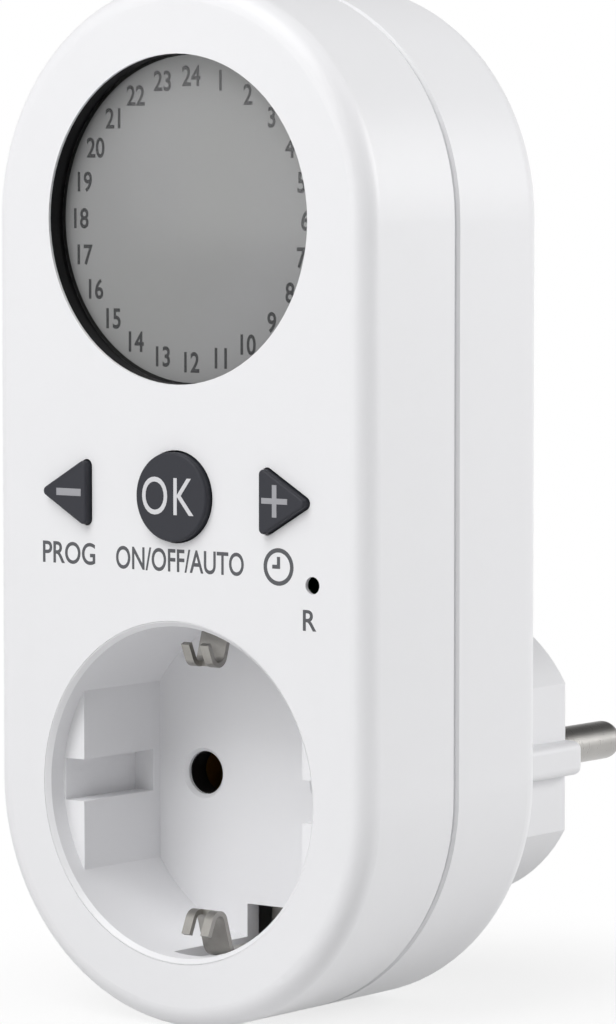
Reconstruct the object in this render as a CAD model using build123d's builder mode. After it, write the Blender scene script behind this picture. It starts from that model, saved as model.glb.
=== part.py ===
"""Plug-in digital timer switch: an upright housing that plugs into an earthed wall socket.

The front carries a round display, three keys, a recessed reset switch and a switched socket outlet.
The back carries the matching plug: a round boss with two pins and two earth strips.

Frame: X to the right seen from the front, Y into the wall, Z up, all in millimetres.
The origin is the middle of the plug's pin face. Depths are measured from the front face, inwards.
"""

import os
from math import cos, radians, sin

from build123d import *

os.makedirs("parts", exist_ok=True)

# ---------------------------------------------------------------- clearances
FIT_GAP = 0.1  # round every tongue, ring and disc that sits in a seat
SEAT_GAP = 0.05  # between a shoulder and the face that it rests on
RUNNING_GAP = 0.08  # round a switch plunger
SCREW_GAP = 0.2  # round a screw in its through hole
PILOT_GAP = 0.05  # round a screw in the hole that holds its thread

# ---------------------------------------------------------------- housing
BODY_WIDTH = 55.2
AXIS_SPACING = 66.5  # socket axis up to display axis
FRONT_COVER_DEPTH = 17.0
SEAM_GAP = 0.5
SEAM_CHAMFER = 0.3
REAR_COVER_DEPTH = 17.7
PLUG_LENGTH = 22.0  # back face to pin face
WALL = 2.0
FRONT_EDGE_RADIUS = 2.5
BACK_EDGE_RADIUS = 3.5
INNER_EDGE_RADIUS = 1.2
LIP_WALL = 1.0  # outer part of the wall, beside the tongue
TONGUE_HEIGHT = 2.0
TONGUE_ROOT = 2.0  # length of the tongue inside the rear cover
RIB_WALL = 1.2

REAR_SEAM = FRONT_COVER_DEPTH + SEAM_GAP
BODY_DEPTH = REAR_SEAM + REAR_COVER_DEPTH
BACK_WALL = BODY_DEPTH - WALL  # depth of the back wall's inner face
PLUG_FACE = BODY_DEPTH + PLUG_LENGTH
INNER_HALF_WIDTH = BODY_WIDTH / 2 - WALL
MID_WALL = WALL / 2  # features that join a wall start in its middle

# ---------------------------------------------------------------- display
WINDOW_RADIUS = 19.05
WINDOW_LIP = 0.35
BEZEL_WALL = 1.1
BEZEL_LEDGE = 1.55
LENS_RADIUS = 19.4
LENS_THICKNESS = 1.0
LCD_THICKNESS = 2.6
ZEBRA_HEIGHT = 3.0
ZEBRA_LENGTH = 24.0
ZEBRA_WIDTH = 2.2
ZEBRA_OFFSET = 13.0
BOARD_THICKNESS = 1.6

LENS_FRONT = WINDOW_LIP + BEZEL_LEDGE
LENS_REAR = LENS_FRONT + LENS_THICKNESS
LCD_REAR = LENS_REAR + FIT_GAP + LCD_THICKNESS
CONTROL_FRONT = LCD_REAR + ZEBRA_HEIGHT  # front face of the control board
CONTROL_REAR = CONTROL_FRONT + BOARD_THICKNESS
BEZEL_BORE = LENS_RADIUS + FIT_GAP
BEZEL_RADIUS = BEZEL_BORE + BEZEL_WALL

# ---------------------------------------------------------------- socket outlet
RECESS_RADIUS = 19.4
RECESS_DEPTH = 17.1
RIM_WALL = 0.6  # ring between the recess and the front cover's opening
RIM_GAP = 0.04  # round the ring
RIM_SINK = 0.05
RIM_CHAMFER = 0.5
CUP_WALL = 2.0
CUP_FLOOR = 2.2
FLAT_HALF_WIDTH = 16.2
FLAT_START = 2.8
GROOVE_HALF_WIDTH = 2.5
GROOVE_DEPTH = 2.8  # from the flat outwards
GROOVE_STOP = 1.3  # from a groove's end to the recess floor
PIN_SPACING = 19.0
PIN_HOLE_RADIUS = 2.6
PIN_HOLE_CHAMFER = 0.45
PIN_HOLE_LIP = 0.9  # floor left in front of the contact carrier's collars
PIN_BORE_RADIUS = 2.5  # in the contact carrier
COLLAR_WALL = 1.0
CARRIER_PLATE = 1.4
CHAMBER_WALL = 1.2
CHAMBER_GAP = 0.3

CUP_FRONT = WALL + SEAT_GAP
CUP_REAR = RECESS_DEPTH + CUP_FLOOR
CUP_RADIUS = RECESS_RADIUS + CUP_WALL
OPENING_RADIUS = RECESS_RADIUS + RIM_WALL + RIM_GAP
COLLAR_RADIUS = PIN_BORE_RADIUS + COLLAR_WALL
COLLAR_FRONT = RECESS_DEPTH + PIN_HOLE_LIP + SEAT_GAP
CARRIER_FRONT = CUP_REAR + SEAT_GAP
CARRIER_REAR = CARRIER_FRONT + CARRIER_PLATE

# ---------------------------------------------------------------- earth strips
STRIP_WIDTH = 4.0
STRIP_THICKNESS = 0.6
STRIP_GAP = 0.35  # beside a strip in the plug's groove
CHANNEL_GAP = 0.85  # beside a strip in the recess's channel
CLIP_TIP = (3.4, 17.0)  # depth, and distance from the socket axis
CLIP_CROWN = (5.8, 11.6)  # the corner that the clip's bend rounds off
CLIP_FOOT_DEPTH = 8.4
CLIP_SLOT_WIDTH = 1.6  # splits the clip's tongue in two
CLIP_SLOT_STOP = 1.9  # from the crown to the slot's end
STRIP_BEND = 1.0
CLIP_BENDS = (1.5, 1.5, STRIP_BEND, STRIP_BEND)
CHANNEL_START = 3.0
CHANNEL_INNER = 15.2
CHANNEL_OUTER = 20.4
EARTH_FLOOR = 16.3  # distance of the plug's earth grooves from the axis
EARTH_SLOT = 3.0  # length of the closed slot behind the back face
STRIP_END_GAP = 0.8

CHANNEL_HALF_WIDTH = STRIP_WIDTH / 2 + CHANNEL_GAP
EARTH_HALF_WIDTH = STRIP_WIDTH / 2 + STRIP_GAP
CHANNEL_LEVEL = CHANNEL_OUTER - FIT_GAP - STRIP_THICKNESS
BRIDGE_REAR = CARRIER_REAR + SEAT_GAP + STRIP_THICKNESS

# ---------------------------------------------------------------- plug
BOSS_RADIUS = 18.4
BOSS_FLAT_HALF_WIDTH = 16.0
RAIL_HALF_WIDTH = 2.1
RAIL_REACH = 18.3
RAIL_EDGE_RADIUS = 1.0
BOSS_END_WALL = 3.0  # holds the pins
BOSS_SIDE_WALL = 1.9
BOSS_ROUND_WALL = 4.0
BOSS_EDGE_RADIUS = 0.8
PIN_RADIUS = 2.4
PIN_LENGTH = 19.0
PIN_TIP_RADIUS = 1.8
PIN_ROOT_RADIUS = 2.0
PIN_STUB_RADIUS = 1.5
PIN_HEAD_RADIUS = 2.3
PIN_HEAD_HEIGHT = 0.6

PIN_SHOULDER = PIN_RADIUS - PIN_ROOT_RADIUS  # height of the cone between pin and root
CAVITY_END = PLUG_FACE - BOSS_END_WALL
CAVITY_RADIUS = BOSS_RADIUS - BOSS_ROUND_WALL
CAVITY_HALF_WIDTH = BOSS_FLAT_HALF_WIDTH - BOSS_SIDE_WALL

# ---------------------------------------------------------------- screws and posts
SCREW_RADIUS = 1.4
SCREW_HEAD_RADIUS = 2.5
SCREW_HEAD_HEIGHT = 1.8
SCREW_LENGTH = 11.0
PILOT_RUNOUT = 2.0
POST_WALL = 1.1
TUBE_WALL = 1.0
TUBE_FLOOR = 2.5  # under the screw head
SCREW_ANGLE = 38.0
SCREW_SPACE = 1.5  # between a tube and the round piece that it stands beside
PILLAR_RADIUS = 1.8
PILLAR_ANGLE = 35.0
PILLAR_INSET = 2.3  # from the cup's edge

POST_RADIUS = SCREW_RADIUS + POST_WALL
SCREW_HOLE_RADIUS = SCREW_HEAD_RADIUS + SCREW_GAP
TUBE_RADIUS = SCREW_HOLE_RADIUS + TUBE_WALL
SCREW_SEAT = FRONT_COVER_DEPTH + TUBE_FLOOR

# ---------------------------------------------------------------- keys
KEY_ROW = 34.5  # height of the key row above the socket axis
KEY_PROUD = 1.0
KEY_GAP = 0.2
KEY_FLANGE = 1.0
KEY_EDGE_RADIUS = 0.3
KEY_TRAVEL = 0.5
OK_RADIUS = 5.2
ARROW_BASE = 12.75  # distance of an arrow's flat side from the centre line
ARROW_LENGTH = 7.1
ARROW_HEIGHT = 8.3
ARROW_CORNER_RADIUS = 0.6
ARROW_STEM = 2.9  # from the arrow's flat side to its stem
KEY_STEM_RADIUS = 1.6
RESET_INSET = 7.8  # from the housing's side
RESET_HEIGHT = 25.2
RESET_HOLE_RADIUS = 1.0
RESET_LIP = 0.5  # wall left round the reset hole
RESET_POCKET_RADIUS = 2.6
SWITCH_SIZE = 6.0
SWITCH_HEIGHT = 3.5
PLUNGER_RADIUS = 1.7
PLUNGER_PROUD = 0.8
PLUNGER_LENGTH = 2.0

RESET_PLACE = (BODY_WIDTH / 2 - RESET_INSET, RESET_HEIGHT)
KEY_PLACES = {"minus": -ARROW_BASE - ARROW_STEM, "ok": 0.0, "plus": ARROW_BASE + ARROW_STEM}
SWITCH_PLACES = {key: (key_x, KEY_ROW) for key, key_x in KEY_PLACES.items()} | {"reset": RESET_PLACE}
FLANGE_REAR = WALL + SEAT_GAP + KEY_FLANGE
PLUNGER_FRONT = CONTROL_FRONT - SWITCH_HEIGHT - PLUNGER_PROUD
PLUNGER_REAR = PLUNGER_FRONT + PLUNGER_LENGTH

# ---------------------------------------------------------------- control board
BOARD_SCREW_RADIUS = 1.0
BOARD_SCREW_HEAD_RADIUS = 2.0
BOARD_SCREW_HEAD_HEIGHT = 1.2
BOARD_SCREW_LENGTH = 5.0
BOARD_SCREW_INSET = 2.8  # from the board's edges
STANDOFF_RADIUS = 2.2
BOARD_CORNER_RADIUS = 1.5
CONTROL_SIDE_SPACE = 2.7
CONTROL_RIM = 0.2  # board beyond the bezel
CONTROL_END_SPACE = 1.1  # from the cup, and from the upper screw posts
CONTROL_BOTTOM_SCREW = 9.5
CELL_RADIUS = 6.25
CELL_THICKNESS = 2.5
CELL_INSET = 9.9  # from the board's left edge
CELL_HEIGHT = 11.5  # above the board's bottom edge
CHIP_RADIUS = 6.0
CHIP_HEIGHT = 1.6
CHIP_EDGE_RADIUS = 1.3
CRYSTAL_RADIUS = 1.0
CRYSTAL_LENGTH = 6.2
CRYSTAL_OFFSET = (12.0, -6.5)  # from the display axis

# ---------------------------------------------------------------- power board
POWER_GAP = 3.0  # behind the power board
ARM_SPACE = 0.9  # from a contact's arm to the head of a board screw
POWER_BOTTOM = 28.0
POWER_LENGTH = 46.0
TUBE_NOTCH = 0.4
RELAY_WIDTH = 12.7
RELAY_LENGTH = 29.0
RELAY_SPACE = 0.5  # from the relay to the backup cell in front of it
RELAY_PLACE = (-5.0, 51.0)
RELAY_EDGE_CHAMFER = 0.6
FILM_CAPACITOR_SIZE = (8.0, 18.0, 14.0)  # across, up, and out of the board
FILM_CAPACITOR_PLACE = (10.5, 58.0)
FILM_CAPACITOR_EDGE_CHAMFER = 0.5
DIODE_SIZE = (2.6, 4.2, 2.3)
DIODE_EDGE_CHAMFER = 0.3
DIODE_PITCH = 4.0
DIODE_COUNT = 4
DIODE_PLACE = (-0.5, 70.2)
ELECTROLYTIC_RADIUS = 5.0
ELECTROLYTIC_HEIGHT = 13.0
ELECTROLYTIC_PLACE = (8.5, 41.6)
ELECTROLYTIC_GROOVE = 0.4
ELECTROLYTIC_GROOVE_HEIGHT = 1.7
VARISTOR_RADIUS = 5.0
VARISTOR_THICKNESS = 3.6
VARISTOR_PLACE = (-15.0, 59.0)
LINK_PITCH = 2.0
LINK_COUNT = 5
LINK_PIN_WIDTH = 0.6
LINK_BLOCK_HEIGHT = 2.5
LINK_BLOCK_WIDTH = 2.4
LINK_PLACE = (8.6, 34.0)

POWER_REAR = BACK_WALL - POWER_GAP
POWER_FRONT = POWER_REAR - BOARD_THICKNESS
RELAY_HEIGHT = POWER_FRONT - CONTROL_REAR - CELL_THICKNESS - RELAY_SPACE
RELAY_SIZE = (RELAY_WIDTH, RELAY_LENGTH, RELAY_HEIGHT)

# ---------------------------------------------------------------- contacts and busbars
CONTACT_WIDTH = 6.0
SHEET = 0.8  # brass sheet of the contacts and busbars
SHEET_BEND = 0.6
PIN_END_GAP = 1.5  # behind the tip of an inserted pin
CONTACT_MOUTH = 3.4  # inner half widths of the spring
CONTACT_THROAT = PIN_RADIUS + FIT_GAP
CONTACT_BODY = 3.0
THROAT_DEPTH = 2.7  # from the contact's front
BODY_START = 4.9
ARM_WIDTH = 4.0
SOLDER_LAP = 3.5  # length of an arm over the power board
BUSBAR_WIDTH = 4.4
BUSBAR_PLATE = 5.4
BUSBAR_SIDE = 3.5  # from the pin axis to the busbar's inner edge
BUSBAR_LEVEL = 8.2
NEUTRAL_REACH = 5.5  # from the pin axis to the neutral busbar's back

CONTACT_FRONT = CARRIER_REAR + CHAMBER_GAP
CONTACT_BACK = RECESS_DEPTH + PIN_LENGTH + PIN_END_GAP
CHAMBER_HALF_WIDTH = CONTACT_MOUTH + SHEET + CHAMBER_GAP
CHAMBER_HEIGHT = CONTACT_WIDTH + 2 * CHAMBER_GAP
CHAMBER_REAR = POWER_FRONT - ARM_WIDTH - CHAMBER_GAP
CARRIER_HEIGHT = CHAMBER_HEIGHT + 2 * CHAMBER_WALL
CARRIER_HALF_WIDTH = PIN_SPACING / 2 + CHAMBER_HALF_WIDTH + CHAMBER_WALL
ARM_TOP = POWER_BOTTOM + SOLDER_LAP
ARM_OUTSIDE = PIN_SPACING / 2 + CONTACT_BODY + SHEET
POWER_HALF_WIDTH = ARM_OUTSIDE + ARM_SPACE + BOARD_SCREW_HEAD_RADIUS + BOARD_SCREW_INSET

pieces = {}


def at_depth(depth):
    """Plane parallel to the front face and `depth` behind it; its normal points out of the front."""
    return Plane.XZ.offset(PLUG_FACE - depth)


def depth_y(depth):
    """Y coordinate of a depth."""
    return depth - PLUG_FACE


def around(radius, angle, centre_height=0.0):
    """Place to the right of the centre line, at an angle above the horizontal through the centre."""
    return (radius * cos(radians(angle)), centre_height + radius * sin(radians(angle)))


def both_sides(*places):
    """Each place and its mirror image across the centre line."""
    return [(side * x, z) for x, z in places for side in (-1, 1)]


def body_outline(inset=0.0, mode=Mode.ADD):
    """Upright stadium round the socket axis and the display axis."""
    with Locations((0, AXIS_SPACING / 2)):
        SlotCenterToCenter(AXIS_SPACING, BODY_WIDTH - 2 * inset, rotation=90, mode=mode)


def key_outline(key, grow=0.0):
    """Outline of a key seen from the front: a disc, or a rounded arrow that points outwards."""
    side = -1 if KEY_PLACES[key] < 0 else 1
    with BuildSketch() as outline:
        if key == "ok":
            with Locations((0, KEY_ROW)):
                Circle(OK_RADIUS + grow)
        else:
            Polygon(
                (side * ARROW_BASE, KEY_ROW - ARROW_HEIGHT / 2),
                (side * (ARROW_BASE + ARROW_LENGTH), KEY_ROW),
                (side * ARROW_BASE, KEY_ROW + ARROW_HEIGHT / 2),
            )
            fillet(outline.vertices(), ARROW_CORNER_RADIUS)
            if grow:
                offset(amount=grow)
    return outline.sketch


UPPER_SCREW = around(BEZEL_RADIUS + SCREW_SPACE + TUBE_RADIUS, -SCREW_ANGLE, AXIS_SPACING)
LOWER_SCREW = around(CUP_RADIUS + SCREW_SPACE + TUBE_RADIUS, SCREW_ANGLE)
SCREW_PLACES = both_sides(UPPER_SCREW, LOWER_SCREW)
PILLAR_PLACES = both_sides(
    around(CUP_RADIUS - PILLAR_INSET, PILLAR_ANGLE),
    around(CUP_RADIUS - PILLAR_INSET, -PILLAR_ANGLE),
)
CONTROL_HALF_WIDTH = INNER_HALF_WIDTH - CONTROL_SIDE_SPACE
CONTROL_BOTTOM = CUP_RADIUS + CONTROL_END_SPACE
CONTROL_TOP = UPPER_SCREW[1] - POST_RADIUS - CONTROL_END_SPACE
CELL_PLACE = (CELL_INSET - CONTROL_HALF_WIDTH, CONTROL_BOTTOM + CELL_HEIGHT)
CONTROL_SCREWS = both_sides(
    (CONTROL_HALF_WIDTH - BOARD_SCREW_INSET, CONTROL_TOP - BOARD_SCREW_INSET),
    (CONTROL_BOTTOM_SCREW, CONTROL_BOTTOM + BOARD_SCREW_INSET),
)
POWER_SCREWS = both_sides(
    (POWER_HALF_WIDTH - BOARD_SCREW_INSET, POWER_BOTTOM + BOARD_SCREW_INSET),
    (POWER_HALF_WIDTH - BOARD_SCREW_INSET, POWER_BOTTOM + POWER_LENGTH - BOARD_SCREW_INSET),
)
key_holes = [key_outline(key, KEY_GAP) for key in KEY_PLACES]

# ================================================================ front cover
with BuildPart() as front_cover:
    with BuildSketch(at_depth(FRONT_COVER_DEPTH)):
        body_outline()
    extrude(amount=FRONT_COVER_DEPTH)
    fillet(front_cover.faces().sort_by(Axis.Y)[0].edges(), FRONT_EDGE_RADIUS)
    chamfer(front_cover.faces().sort_by(Axis.Y)[-1].edges(), SEAM_CHAMFER)
    with BuildSketch(at_depth(FRONT_COVER_DEPTH)):
        body_outline(WALL)
    extrude(amount=FRONT_COVER_DEPTH - WALL, mode=Mode.SUBTRACT)
    inner_face = front_cover.faces().filter_by(Axis.Y).sort_by(Axis.Y)[1]
    fillet(inner_face.edges(), INNER_EDGE_RADIUS)
    # rebate for the rear cover's tongue
    with BuildSketch(at_depth(FRONT_COVER_DEPTH)):
        body_outline(LIP_WALL)
    extrude(amount=TONGUE_HEIGHT, mode=Mode.SUBTRACT)
    # screw posts, each tied to the side wall by a rib
    with BuildSketch(at_depth(FRONT_COVER_DEPTH)):
        with Locations(*SCREW_PLACES):
            Circle(POST_RADIUS)
    extrude(amount=FRONT_COVER_DEPTH - MID_WALL)
    with BuildSketch(at_depth(FRONT_COVER_DEPTH - TONGUE_HEIGHT)):
        for x, z in (UPPER_SCREW, LOWER_SCREW):
            rib_length = INNER_HALF_WIDTH + MID_WALL - x
            with Locations(*both_sides((x + rib_length / 2, z))):
                Rectangle(rib_length, RIB_WALL)
    extrude(amount=FRONT_COVER_DEPTH - TONGUE_HEIGHT - MID_WALL)
    # standoffs that carry the control board
    with BuildSketch(at_depth(CONTROL_FRONT)):
        with Locations(*CONTROL_SCREWS):
            Circle(STANDOFF_RADIUS)
    extrude(amount=CONTROL_FRONT - MID_WALL)
    # display window, with a thin lip over the bezel
    with BuildSketch(at_depth(WALL)):
        with Locations((0, AXIS_SPACING)):
            Circle(WINDOW_RADIUS)
    extrude(amount=WALL, mode=Mode.SUBTRACT)
    with BuildSketch(at_depth(FRONT_COVER_DEPTH)):
        with Locations((0, AXIS_SPACING)):
            Circle(BEZEL_RADIUS + FIT_GAP)
    extrude(amount=FRONT_COVER_DEPTH - WINDOW_LIP, mode=Mode.SUBTRACT)
    # socket opening, key openings and reset hole
    with BuildSketch(at_depth(WALL)):
        Circle(OPENING_RADIUS)
        add(key_holes)
        with Locations(RESET_PLACE):
            Circle(RESET_HOLE_RADIUS)
    extrude(amount=WALL, mode=Mode.SUBTRACT)
    # thin wall round the reset hole
    with BuildSketch(at_depth(WALL)):
        with Locations(RESET_PLACE):
            Circle(RESET_POCKET_RADIUS)
    extrude(amount=WALL - RESET_LIP, mode=Mode.SUBTRACT)
    # pilot holes
    with BuildSketch(at_depth(FRONT_COVER_DEPTH)):
        with Locations(*SCREW_PLACES):
            Circle(SCREW_RADIUS + PILOT_GAP)
    extrude(amount=SCREW_LENGTH - TUBE_FLOOR + PILOT_RUNOUT, mode=Mode.SUBTRACT)
    with BuildSketch(at_depth(CONTROL_FRONT)):
        with Locations(*CONTROL_SCREWS):
            Circle(BOARD_SCREW_RADIUS + PILOT_GAP)
    extrude(amount=BOARD_SCREW_LENGTH, mode=Mode.SUBTRACT)
pieces["front_cover"] = front_cover

# ================================================================ rear cover with the plug boss
with BuildPart() as rear_cover:
    with BuildSketch(at_depth(BODY_DEPTH)):
        body_outline()
    extrude(amount=REAR_COVER_DEPTH)
    fillet(rear_cover.faces().sort_by(Axis.Y)[-1].edges(), BACK_EDGE_RADIUS)
    chamfer(rear_cover.faces().sort_by(Axis.Y)[0].edges(), SEAM_CHAMFER)
    with BuildSketch(at_depth(BACK_WALL)):
        body_outline(WALL)
    extrude(amount=BACK_WALL - REAR_SEAM, mode=Mode.SUBTRACT)
    inner_face = rear_cover.faces().filter_by(Axis.Y).sort_by(Axis.Y)[-2]
    fillet(inner_face.edges(), INNER_EDGE_RADIUS)
    # tongue that reaches into the front cover
    with BuildSketch(at_depth(REAR_SEAM + TONGUE_ROOT)):
        body_outline(LIP_WALL + FIT_GAP)
        body_outline(WALL, Mode.SUBTRACT)
    extrude(amount=TONGUE_ROOT + TONGUE_HEIGHT)
    # plug boss: a disc with flats left and right, and a guide rail along each flat
    with BuildSketch(at_depth(PLUG_FACE)) as boss_outline:
        Circle(BOSS_RADIUS)
        Rectangle(2 * BOSS_FLAT_HALF_WIDTH, 2 * BOSS_RADIUS, mode=Mode.INTERSECT)
        Rectangle(2 * RAIL_REACH, 2 * RAIL_HALF_WIDTH)
        corners = boss_outline.vertices().group_by(Axis.X)
        fillet(corners[0] + corners[-1], RAIL_EDGE_RADIUS)
    extrude(amount=PLUG_LENGTH + MID_WALL)
    fillet(rear_cover.faces().sort_by(Axis.Y)[-1].edges(), BOSS_EDGE_RADIUS)
    # cavity inside the boss, open to the housing
    with BuildSketch(at_depth(CAVITY_END)):
        Circle(CAVITY_RADIUS)
        Rectangle(2 * CAVITY_HALF_WIDTH, 2 * CAVITY_RADIUS, mode=Mode.INTERSECT)
    extrude(amount=CAVITY_END - BACK_WALL, mode=Mode.SUBTRACT)
    # screw tubes, pillars behind the socket insert and the power board's standoffs
    with BuildSketch(at_depth(BACK_WALL + MID_WALL)):
        with Locations(*SCREW_PLACES):
            Circle(TUBE_RADIUS)
    extrude(amount=BACK_WALL + MID_WALL - FRONT_COVER_DEPTH)
    with BuildSketch(at_depth(BACK_WALL + MID_WALL)):
        with Locations(*PILLAR_PLACES):
            Circle(PILLAR_RADIUS)
    extrude(amount=BACK_WALL + MID_WALL - CUP_REAR - SEAT_GAP)
    with BuildSketch(at_depth(BACK_WALL + MID_WALL)):
        with Locations(*POWER_SCREWS):
            Circle(STANDOFF_RADIUS)
    extrude(amount=MID_WALL + POWER_GAP)
    # screw holes
    with BuildSketch(at_depth(BODY_DEPTH)):
        with Locations(*SCREW_PLACES):
            Circle(SCREW_HOLE_RADIUS)
    extrude(amount=BODY_DEPTH - SCREW_SEAT, mode=Mode.SUBTRACT)
    with BuildSketch(at_depth(SCREW_SEAT)):
        with Locations(*SCREW_PLACES):
            Circle(SCREW_RADIUS + SCREW_GAP)
    extrude(amount=TUBE_FLOOR, mode=Mode.SUBTRACT)
    with BuildSketch(at_depth(BACK_WALL)):
        with Locations(*POWER_SCREWS):
            Circle(BOARD_SCREW_RADIUS + PILOT_GAP)
    extrude(amount=POWER_GAP, mode=Mode.SUBTRACT)
    # pin holes, countersunk for the pins' shoulders
    with BuildSketch(at_depth(PLUG_FACE)):
        with GridLocations(PIN_SPACING, 0, 2, 1):
            Circle(PIN_ROOT_RADIUS + PILOT_GAP)
    extrude(amount=BOSS_END_WALL, mode=Mode.SUBTRACT)
    pin_face = rear_cover.faces().filter_by(Axis.Y).sort_by(Axis.Y)[-1]
    chamfer(pin_face.inner_wires().edges(), PIN_SHOULDER)
    # earth strip grooves, open outwards on the boss, and their slots through the back wall
    with BuildSketch(at_depth(PLUG_FACE)):
        with GridLocations(0, EARTH_FLOOR + BOSS_RADIUS, 1, 2):
            Rectangle(2 * EARTH_HALF_WIDTH, BOSS_RADIUS - EARTH_FLOOR)
    extrude(amount=PLUG_LENGTH - EARTH_SLOT, mode=Mode.SUBTRACT)
    with BuildSketch(at_depth(BODY_DEPTH + EARTH_SLOT)):
        with GridLocations(0, 2 * EARTH_FLOOR + STRIP_THICKNESS + 2 * FIT_GAP, 1, 2):
            Rectangle(2 * EARTH_HALF_WIDTH, STRIP_THICKNESS + 2 * FIT_GAP)
    extrude(amount=EARTH_SLOT + WALL, mode=Mode.SUBTRACT)
pieces["rear_cover"] = rear_cover

# ================================================================ socket insert
with BuildPart() as socket_insert:
    with BuildSketch(at_depth(CUP_REAR)):
        Circle(CUP_RADIUS)
    extrude(amount=CUP_REAR - CUP_FRONT)
    with BuildSketch(at_depth(CUP_FRONT)):
        Circle(OPENING_RADIUS - RIM_GAP)
    extrude(amount=CUP_FRONT - RIM_SINK)
    # recess: round at the mouth, with flats left and right further in
    with BuildSketch(at_depth(FLAT_START)):
        Circle(RECESS_RADIUS)
    extrude(amount=FLAT_START, mode=Mode.SUBTRACT)
    rim = socket_insert.faces().filter_by(Axis.Y).sort_by(Axis.Y)[0]
    chamfer(rim.edges().sort_by(SortBy.RADIUS)[0], RIM_CHAMFER)
    with BuildSketch(at_depth(RECESS_DEPTH)):
        Circle(RECESS_RADIUS)
        Rectangle(2 * FLAT_HALF_WIDTH, 2 * RECESS_RADIUS, mode=Mode.INTERSECT)
    extrude(amount=RECESS_DEPTH, mode=Mode.SUBTRACT)
    # contact holes
    with BuildSketch(at_depth(CUP_REAR)):
        with GridLocations(PIN_SPACING, 0, 2, 1):
            Circle(PIN_HOLE_RADIUS)
    extrude(amount=CUP_FLOOR, mode=Mode.SUBTRACT)
    floor = socket_insert.faces().filter_by(Axis.Y).sort_by(Axis.Y)[-2]
    chamfer(floor.inner_wires().edges(), PIN_HOLE_CHAMFER)
    # seats for the contact carrier's collars
    with BuildSketch(at_depth(CUP_REAR)):
        with GridLocations(PIN_SPACING, 0, 2, 1):
            Circle(COLLAR_RADIUS + FIT_GAP)
    extrude(amount=CUP_FLOOR - PIN_HOLE_LIP, mode=Mode.SUBTRACT)
    # guide grooves, which end before the floor
    with BuildSketch(at_depth(RECESS_DEPTH - GROOVE_STOP)):
        with GridLocations(2 * FLAT_HALF_WIDTH + GROOVE_DEPTH, 0, 2, 1):
            Rectangle(GROOVE_DEPTH, 2 * GROOVE_HALF_WIDTH)
    extrude(amount=RECESS_DEPTH - GROOVE_STOP - FLAT_START / 2, mode=Mode.SUBTRACT)
    # channels for the earth strips, through the floor
    with BuildSketch(at_depth(CUP_REAR)):
        with GridLocations(0, CHANNEL_INNER + CHANNEL_OUTER, 1, 2):
            Rectangle(2 * CHANNEL_HALF_WIDTH, CHANNEL_OUTER - CHANNEL_INNER)
    extrude(amount=CUP_REAR - CHANNEL_START, mode=Mode.SUBTRACT)
pieces["socket_insert"] = socket_insert

# ================================================================ contact carrier
# held against the socket insert by the earth bridge
with BuildPart() as contact_carrier:
    with BuildSketch(at_depth(CARRIER_REAR)):
        Rectangle(2 * CARRIER_HALF_WIDTH, CARRIER_HEIGHT)
    extrude(amount=CARRIER_PLATE)
    # collars that reach into the socket's floor
    with BuildSketch(at_depth(CARRIER_FRONT)):
        with GridLocations(PIN_SPACING, 0, 2, 1):
            Circle(COLLAR_RADIUS)
    extrude(amount=CARRIER_FRONT - COLLAR_FRONT)
    # a chamber round each contact's mouth
    with BuildSketch(at_depth(CHAMBER_REAR)):
        with GridLocations(PIN_SPACING, 0, 2, 1):
            Rectangle(2 * (CHAMBER_HALF_WIDTH + CHAMBER_WALL), CARRIER_HEIGHT)
        with GridLocations(PIN_SPACING, 0, 2, 1):
            Rectangle(2 * CHAMBER_HALF_WIDTH, CHAMBER_HEIGHT, mode=Mode.SUBTRACT)
    extrude(amount=CHAMBER_REAR - CARRIER_REAR)
    with BuildSketch(at_depth(CARRIER_REAR)):
        with GridLocations(PIN_SPACING, 0, 2, 1):
            Circle(PIN_BORE_RADIUS)
    extrude(amount=CARRIER_REAR - COLLAR_FRONT, mode=Mode.SUBTRACT)
pieces["contact_carrier"] = contact_carrier

# ================================================================ display
with BuildPart() as display_bezel:
    with BuildSketch(at_depth(CONTROL_FRONT)):
        with Locations((0, AXIS_SPACING)):
            Circle(BEZEL_RADIUS)
            Circle(BEZEL_BORE, mode=Mode.SUBTRACT)
    extrude(amount=CONTROL_FRONT - WINDOW_LIP)
    with BuildSketch(at_depth(LENS_FRONT)):
        with Locations((0, AXIS_SPACING)):
            Circle(BEZEL_RADIUS)
            Circle(WINDOW_RADIUS, mode=Mode.SUBTRACT)
    extrude(amount=BEZEL_LEDGE)
pieces["display_bezel"] = display_bezel

with BuildPart() as display_lens:
    with BuildSketch(at_depth(LENS_REAR)):
        with Locations((0, AXIS_SPACING)):
            Circle(LENS_RADIUS)
    extrude(amount=LENS_THICKNESS)
pieces["display_lens"] = display_lens

with BuildPart() as lcd_cell:
    with BuildSketch(at_depth(LCD_REAR)):
        with Locations((0, AXIS_SPACING)):
            Circle(LENS_RADIUS)
    extrude(amount=LCD_THICKNESS)
pieces["lcd_cell"] = lcd_cell

with BuildPart() as zebra_strips:
    with BuildSketch(at_depth(CONTROL_FRONT)):
        with Locations((0, AXIS_SPACING)):
            with GridLocations(0, 2 * ZEBRA_OFFSET, 1, 2):
                Rectangle(ZEBRA_LENGTH, ZEBRA_WIDTH)
    extrude(amount=ZEBRA_HEIGHT)
pieces["zebra_strips"] = zebra_strips

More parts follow.
